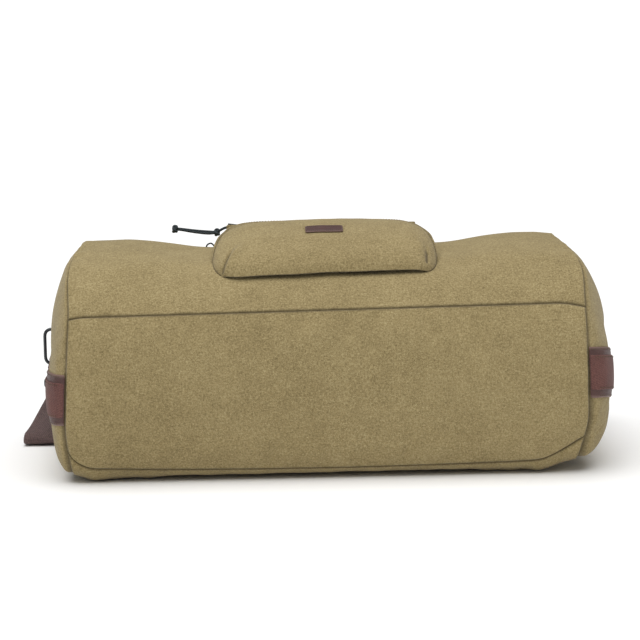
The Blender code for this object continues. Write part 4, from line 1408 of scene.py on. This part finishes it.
def rounded_loop(corners, radius, flat):
    """A closed path through rounded corners; flat turns a 2-D point into its place."""
    path = []
    count = len(corners)
    for k, corner in enumerate(corners):
        before, after = Vector(corners[k - 1]), Vector(corners[(k + 1) % count])
        here = Vector(corner)
        start = here + (before - here).normalized() * radius
        end = here + (after - here).normalized() * radius
        for step in range(7):
            t = step / 6
            path.append(flat((1 - t) ** 2 * start + 2 * t * (1 - t) * here + t**2 * end))
    return path


for side, word in WORDS.items():
    low, high = corners_of(f"dring_{word}")
    wire = 0.00175
    inner, outer = (high.x - wire, low.x + wire) if side < 0 else (low.x + wire, high.x - wire)
    ring_y = (low.y + high.y) / 2
    corners = [(inner, low.z + wire), (outer, low.z + wire + 0.0010),
               (outer, high.z - wire - 0.0010), (inner, high.z - wire)]
    path = rounded_loop(corners, 0.0075, lambda p: Vector((p.x, ring_y, p.y)))
    attach(tube(f"ring_{word}", path, wire, BLACK_METAL, sides=14, closed=True, up=(0, 1, 0)),
           f"dring_{word}", f"dring_{word}")
    low, high = corners_of(f"strap_hook_{word}")
    middle = (low + high) / 2
    hook = [middle + Vector((0, 0.0072 * math.sin(math.tau * k / 32), 0.0072 * math.cos(math.tau * k / 32)))
            for k in range(32)]
    attach(tube(f"hook_{word}", hook, 0.0018, BLACK_METAL, sides=14, closed=True, up=(1, 0, 0)),
           "bag", f"strap_hook_{word}")
    low, high = corners_of(f"strap_eye_{word}")
    eye_y = (low.y + high.y) / 2
    wire = 0.0016
    corners = [(low.x + wire, low.z + wire), (high.x - wire, low.z + wire), (high.x - wire, high.z - wire),
               (low.x + wire, high.z - wire)]
    path = rounded_loop(corners, 0.0032, lambda p: Vector((p.x, eye_y, p.y)))
    attach(tube(f"eye_{word}", path, wire, BLACK_METAL, sides=14, closed=True, up=(0, 1, 0)),
           "bag", f"strap_eye_{word}")
    low, high = corners_of(f"strap_swivel_{word}")
    attach(rounded_block(f"swivel_{word}", low, high, 0.0009, BLACK_METAL),
           "bag", f"strap_swivel_{word}")
print("rings and hooks made")

# %% [markdown]
# The shoulder strap leaves the left eye, falls to the floor, turns over and runs round behind the bag
# to the right eye. It is one long piece of webbing, with a metal slide on it to set its length.

# %% Shoulder strap
STRAP_WIDTH = 0.0380
STRAP_THICK = 0.0022
LOW = 0.0014
x, y = -0.2685, 0.2570
STRAP_PATH = [(x, y, 0.0412), (x, y - 0.002, 0.0352), (x - 0.006, y - 0.020, 0.0285),
              (x - 0.015, y - 0.048, 0.0185), (x - 0.021, y - 0.071, 0.0085),
              (x - 0.0215, y - 0.071, 0.0030), (x - 0.021, y - 0.050, LOW + 0.0002), (x - 0.018, 0.290, LOW),
              (x - 0.004, 0.372, LOW), (x + 0.050, 0.428, LOW), (x + 0.130, 0.452, LOW), (0.0, 0.460, LOW)]
STRAP_LOOKS = [(0, -1, 0), (0, -1, 0.1), (-0.1, -1, 0.6), (-0.2, -0.7, 0.8), (-0.1, -1, 0.1), (0, -0.8, -0.8)]
STRAP_LOOKS += [(0, 0, -1)] * 6
x, y = 0.2635, 0.2645
STRAP_PATH += [(x - 0.130, 0.452, LOW), (x - 0.062, 0.428, LOW), (x - 0.024, 0.380, LOW),
               (x - 0.012, 0.330, LOW), (x - 0.010, y + 0.040, LOW + 0.0004), (x - 0.009, y + 0.022, 0.0055),
               (x - 0.005, y + 0.008, 0.0150), (x, y, 0.0240), (x, y, 0.0320)]
STRAP_LOOKS += [(0, 0, -1)] * 5 + [(0, -0.7, -1), (0, -1, -0.4), (0, -1, 0), (0, -1, 0)]
strap = strip("shoulder_strap", [(a, b - REST_Y, c) for a, b, c in STRAP_PATH], STRAP_LOOKS, STRAP_WIDTH,
              STRAP_THICK, STRAP_WEBBING, steps=10, columns=8)
attach(strap, "bag", "strap_webbing")

low, high = corners_of("strap_adjuster")
wire = 0.0013
slide_z = (low.z + high.z) / 2
corners = [(low.x + wire, low.y + wire), (high.x - wire, low.y + wire), (high.x - wire, high.y - wire),
           (low.x + wire, high.y - wire)]
frame_path = rounded_loop(corners, 0.0030, lambda p: Vector((p.x, p.y, slide_z)))
attach(tube("strap_slide", frame_path, wire, BLACK_METAL, sides=12, closed=True, up=(0, 0, 1)),
       "adjuster", "strap_adjuster")
middle = (low.x + high.x) / 2
inside = high.y - low.y - 2 * wire
bar_path = [Vector((middle, low.y + wire + inside * k / 8, slide_z + 0.0002)) for k in range(9)]
attach(tube("strap_slide_bar", bar_path, 0.0011, BLACK_METAL, sides=12), "adjuster")
print("strap", round(lengths_along([Vector(p) for p in STRAP_PATH])[-1], 2), "m")

# %% [markdown]
# The two carry handles are loops of narrower webbing by the mouth. The front one hangs down over the
# zip, and the back one lies on the floor behind. A leather patch covers the foot of each loop, sewn
# round its edge. All of this is behind the bag, so it follows what such bags usually have.

# %% Carry handles
HANDLE_X = 0.108
HANDLE_WIDE = 0.030
UP = Vector((0, 0, 1))
BACK = Vector((0, 1, 0))


def carry_handle(part, foot, foot_looks, arc, arc_look):
    """A webbing loop from one foot, round an arc and down to the mirrored foot."""
    path = foot + arc + [Vector((-p.x, p.y, p.z)) for p in reversed(foot)]
    looks = foot_looks + [arc_look] * len(arc) + foot_looks[::-1]
    handle = strip(f"carry_handle_{part}", [p - Vector((0, REST_Y, 0)) for p in path], looks, HANDLE_WIDE,
                   STRAP_THICK, STRAP_WEBBING, steps=8)
    attach(handle, f"handle_{part}", f"handle_{part}")


turns = [math.pi * k / 8 for k in range(9)]
carry_handle("front",
             [Vector((-HANDLE_X, 0.2535, 0.1500)), Vector((-HANDLE_X, 0.2620, 0.1440)),
              Vector((-HANDLE_X, 0.2680, 0.1320))],
             [Vector((0, 0.5, 1)), Vector((0, 1, 0.6)), Vector((0, 1, 0.1))],
             [Vector((-HANDLE_X * math.cos(t), 0.2690, 0.118 - 0.092 * math.sin(t))) for t in turns], BACK)
carry_handle("back",
             [Vector((-HANDLE_X, 0.2400, 0.0100)), Vector((-HANDLE_X, 0.2520, 0.0040)),
              Vector((-HANDLE_X, 0.2680, LOW))],
             [Vector((0, 0.6, 1)), Vector((0, 0.3, 1)), UP],
             [Vector((-HANDLE_X * math.cos(t), 0.294 + 0.098 * math.sin(t), LOW)) for t in turns], UP)


def from_core(spot):
    """The way from the line through the tube's middle to a point."""
    return Vector((0.0, spot.y - 0.018, spot.z - 0.105))


def skin_patch(name, side, start, end, lift):
    """A leather patch laid on the tube between two places of the section, with its stitches."""
    half = 0.022

    def on_skin(across, place, height):
        share = side * HANDLE_X / HALF_LENGTH
        spot = skin_point(share, place)
        ahead = skin_point(share, place + 0.05) - skin_point(share, place - 0.05)
        out = Vector((0.0, ahead.z, -ahead.y)).normalized()
        if out.dot(from_core(spot)) < 0:
            out.negate()
        x = side * HANDLE_X + across * half
        found = SHELL_TREE.ray_cast(Vector((x, spot.y, spot.z)) + out * 0.03, -out)
        ground = found[0] if found[0] else Vector((x, spot.y, spot.z))
        return ground + out * height

    def where(i, j):
        across = 2 * i / 16 - 1
        return on_skin(across, start + (end - start) * j / 18, lift)

    bm, _ = mapped_grid(16, 18, where, lambda i, j: (i / 16 * 0.044, j / 18 * 0.05))
    edge = bm.verts.layers.float["edge"]
    for vert in bm.verts:
        vert[edge] = 1.0 if vert.is_boundary else 0.0
    face_towards(bm, from_core(where(8, 9)))
    patch = wall(dress(name, bm, LEATHER), 0.0016)
    path = []
    for a, b in once_round(10, 10):
        place = start + (end - start) * (0.5 + 0.5 * b * 0.86)
        path.append(on_skin(a * 0.88, place, lift + 0.0003))
    out = from_core(path[0]).normalized()
    row = stitches(f"{name}_stitches", path, [out] * len(path), 0.0034, (0.0025, 0.0007, 0.0006), SAND_THREAD)
    return patch, row


for side, word in WORDS.items():
    for part, start, end, body in (("front", 9.75, 11.1, "mouth_front"), ("back", 14.08, 14.95, "bag")):
        patch, row = skin_patch(f"patch_{part}_{word}", side, start, end, 0.0030)
        attach(patch, body, f"handle_patch_{part}_{word}")
        attach(row, body)

for word in WORDS.values():
    low, high = corners_of(f"zip_stop_{word}")
    stop = rounded_block(f"zip_end_{word}", low, high, 0.0006, LEATHER)
    attach(stop, "bag", f"zip_stop_{word}")

loop_low, loop_high = corners_of("pocket_zip_loop")
middle = (loop_low + loop_high) / 2 + Vector((0.0045, 0.0, -0.0145))
size = loop_high - loop_low
loop = [middle + Vector((size.x * a, 0.0, size.z * b)) for a, b in
        ((0.42, 0.18), (0.10, 0.42), (-0.30, 0.30), (-0.42, -0.05), (-0.20, -0.35), (0.15, -0.40),
         (0.45, -0.42))]
pull_loop = tube("pocket_pull_loop", spline(loop, 5), 0.0008, CORD_FINISH, sides=8)
attach(pull_loop, "bag", "pocket_zip_loop")
print("handles, patches and stops made")

# %% [markdown]
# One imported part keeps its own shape: the stiff board inside, under the base. It only needs a better
# surface than the plain one it came with.

# %% Base board
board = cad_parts["base_board"]
for slot_used in board.material_slots:
    slot_used.material = BOARD
print("board finished")

# %% Floor and light
FLOOR_SIZE = 12.0


def make_floor():
    """A pale floor that runs out of sight behind the bag."""
    bm = bmesh.new()
    bmesh.ops.create_grid(bm, x_segments=1, y_segments=1, size=FLOOR_SIZE)
    mesh = bpy.data.meshes.new("studio_floor")
    bm.to_mesh(mesh)
    bm.free()
    paint = bpy.data.materials.new("studio_floor")
    paint.use_nodes = True
    shader = paint.node_tree.nodes["Principled BSDF"]
    shader.inputs["Base Color"].default_value = (0.93, 0.93, 0.925, 1.0)
    shader.inputs["Roughness"].default_value = 0.9
    mesh.materials.append(paint)
    floor = bpy.data.objects.new("studio_floor", mesh)
    floor.location.z = -0.0004
    bpy.context.scene.collection.objects.link(floor)


def soft_light(name, place, target, size, power, colour):
    """A square area light aimed at a point."""
    data = bpy.data.lights.new(name, "AREA")
    data.size = size
    data.energy = power
    data.color = colour
    lamp = bpy.data.objects.new(name, data)
    lamp.location = place
    lamp.rotation_euler = (Vector(target) - Vector(place)).to_track_quat("-Z", "Y").to_euler()
    bpy.context.scene.collection.objects.link(lamp)


def light_studio():
    """A pale sky, one very soft sun straight above and a weak light from the front."""
    world = bpy.data.worlds.new("studio")
    world.use_nodes = True
    world.node_tree.nodes["Background"].inputs["Color"].default_value = (1.0, 1.0, 1.0, 1.0)
    world.node_tree.nodes["Background"].inputs["Strength"].default_value = 0.26
    bpy.context.scene.world = world
    sky = bpy.data.lights.new("overhead", "SUN")
    sky.energy = 3.05
    sky.angle = math.radians(70)
    lamp = bpy.data.objects.new("overhead", sky)
    lamp.rotation_euler = (math.radians(9), math.radians(-4), 0.0)
    bpy.context.scene.collection.objects.link(lamp)
    soft_light("fill", (-0.9, -2.0, 1.3), (0.0, 0.0, 0.12), 1.0, 3.0, (1.0, 0.99, 0.97))


make_floor()
light_studio()
print("floor and lights made")
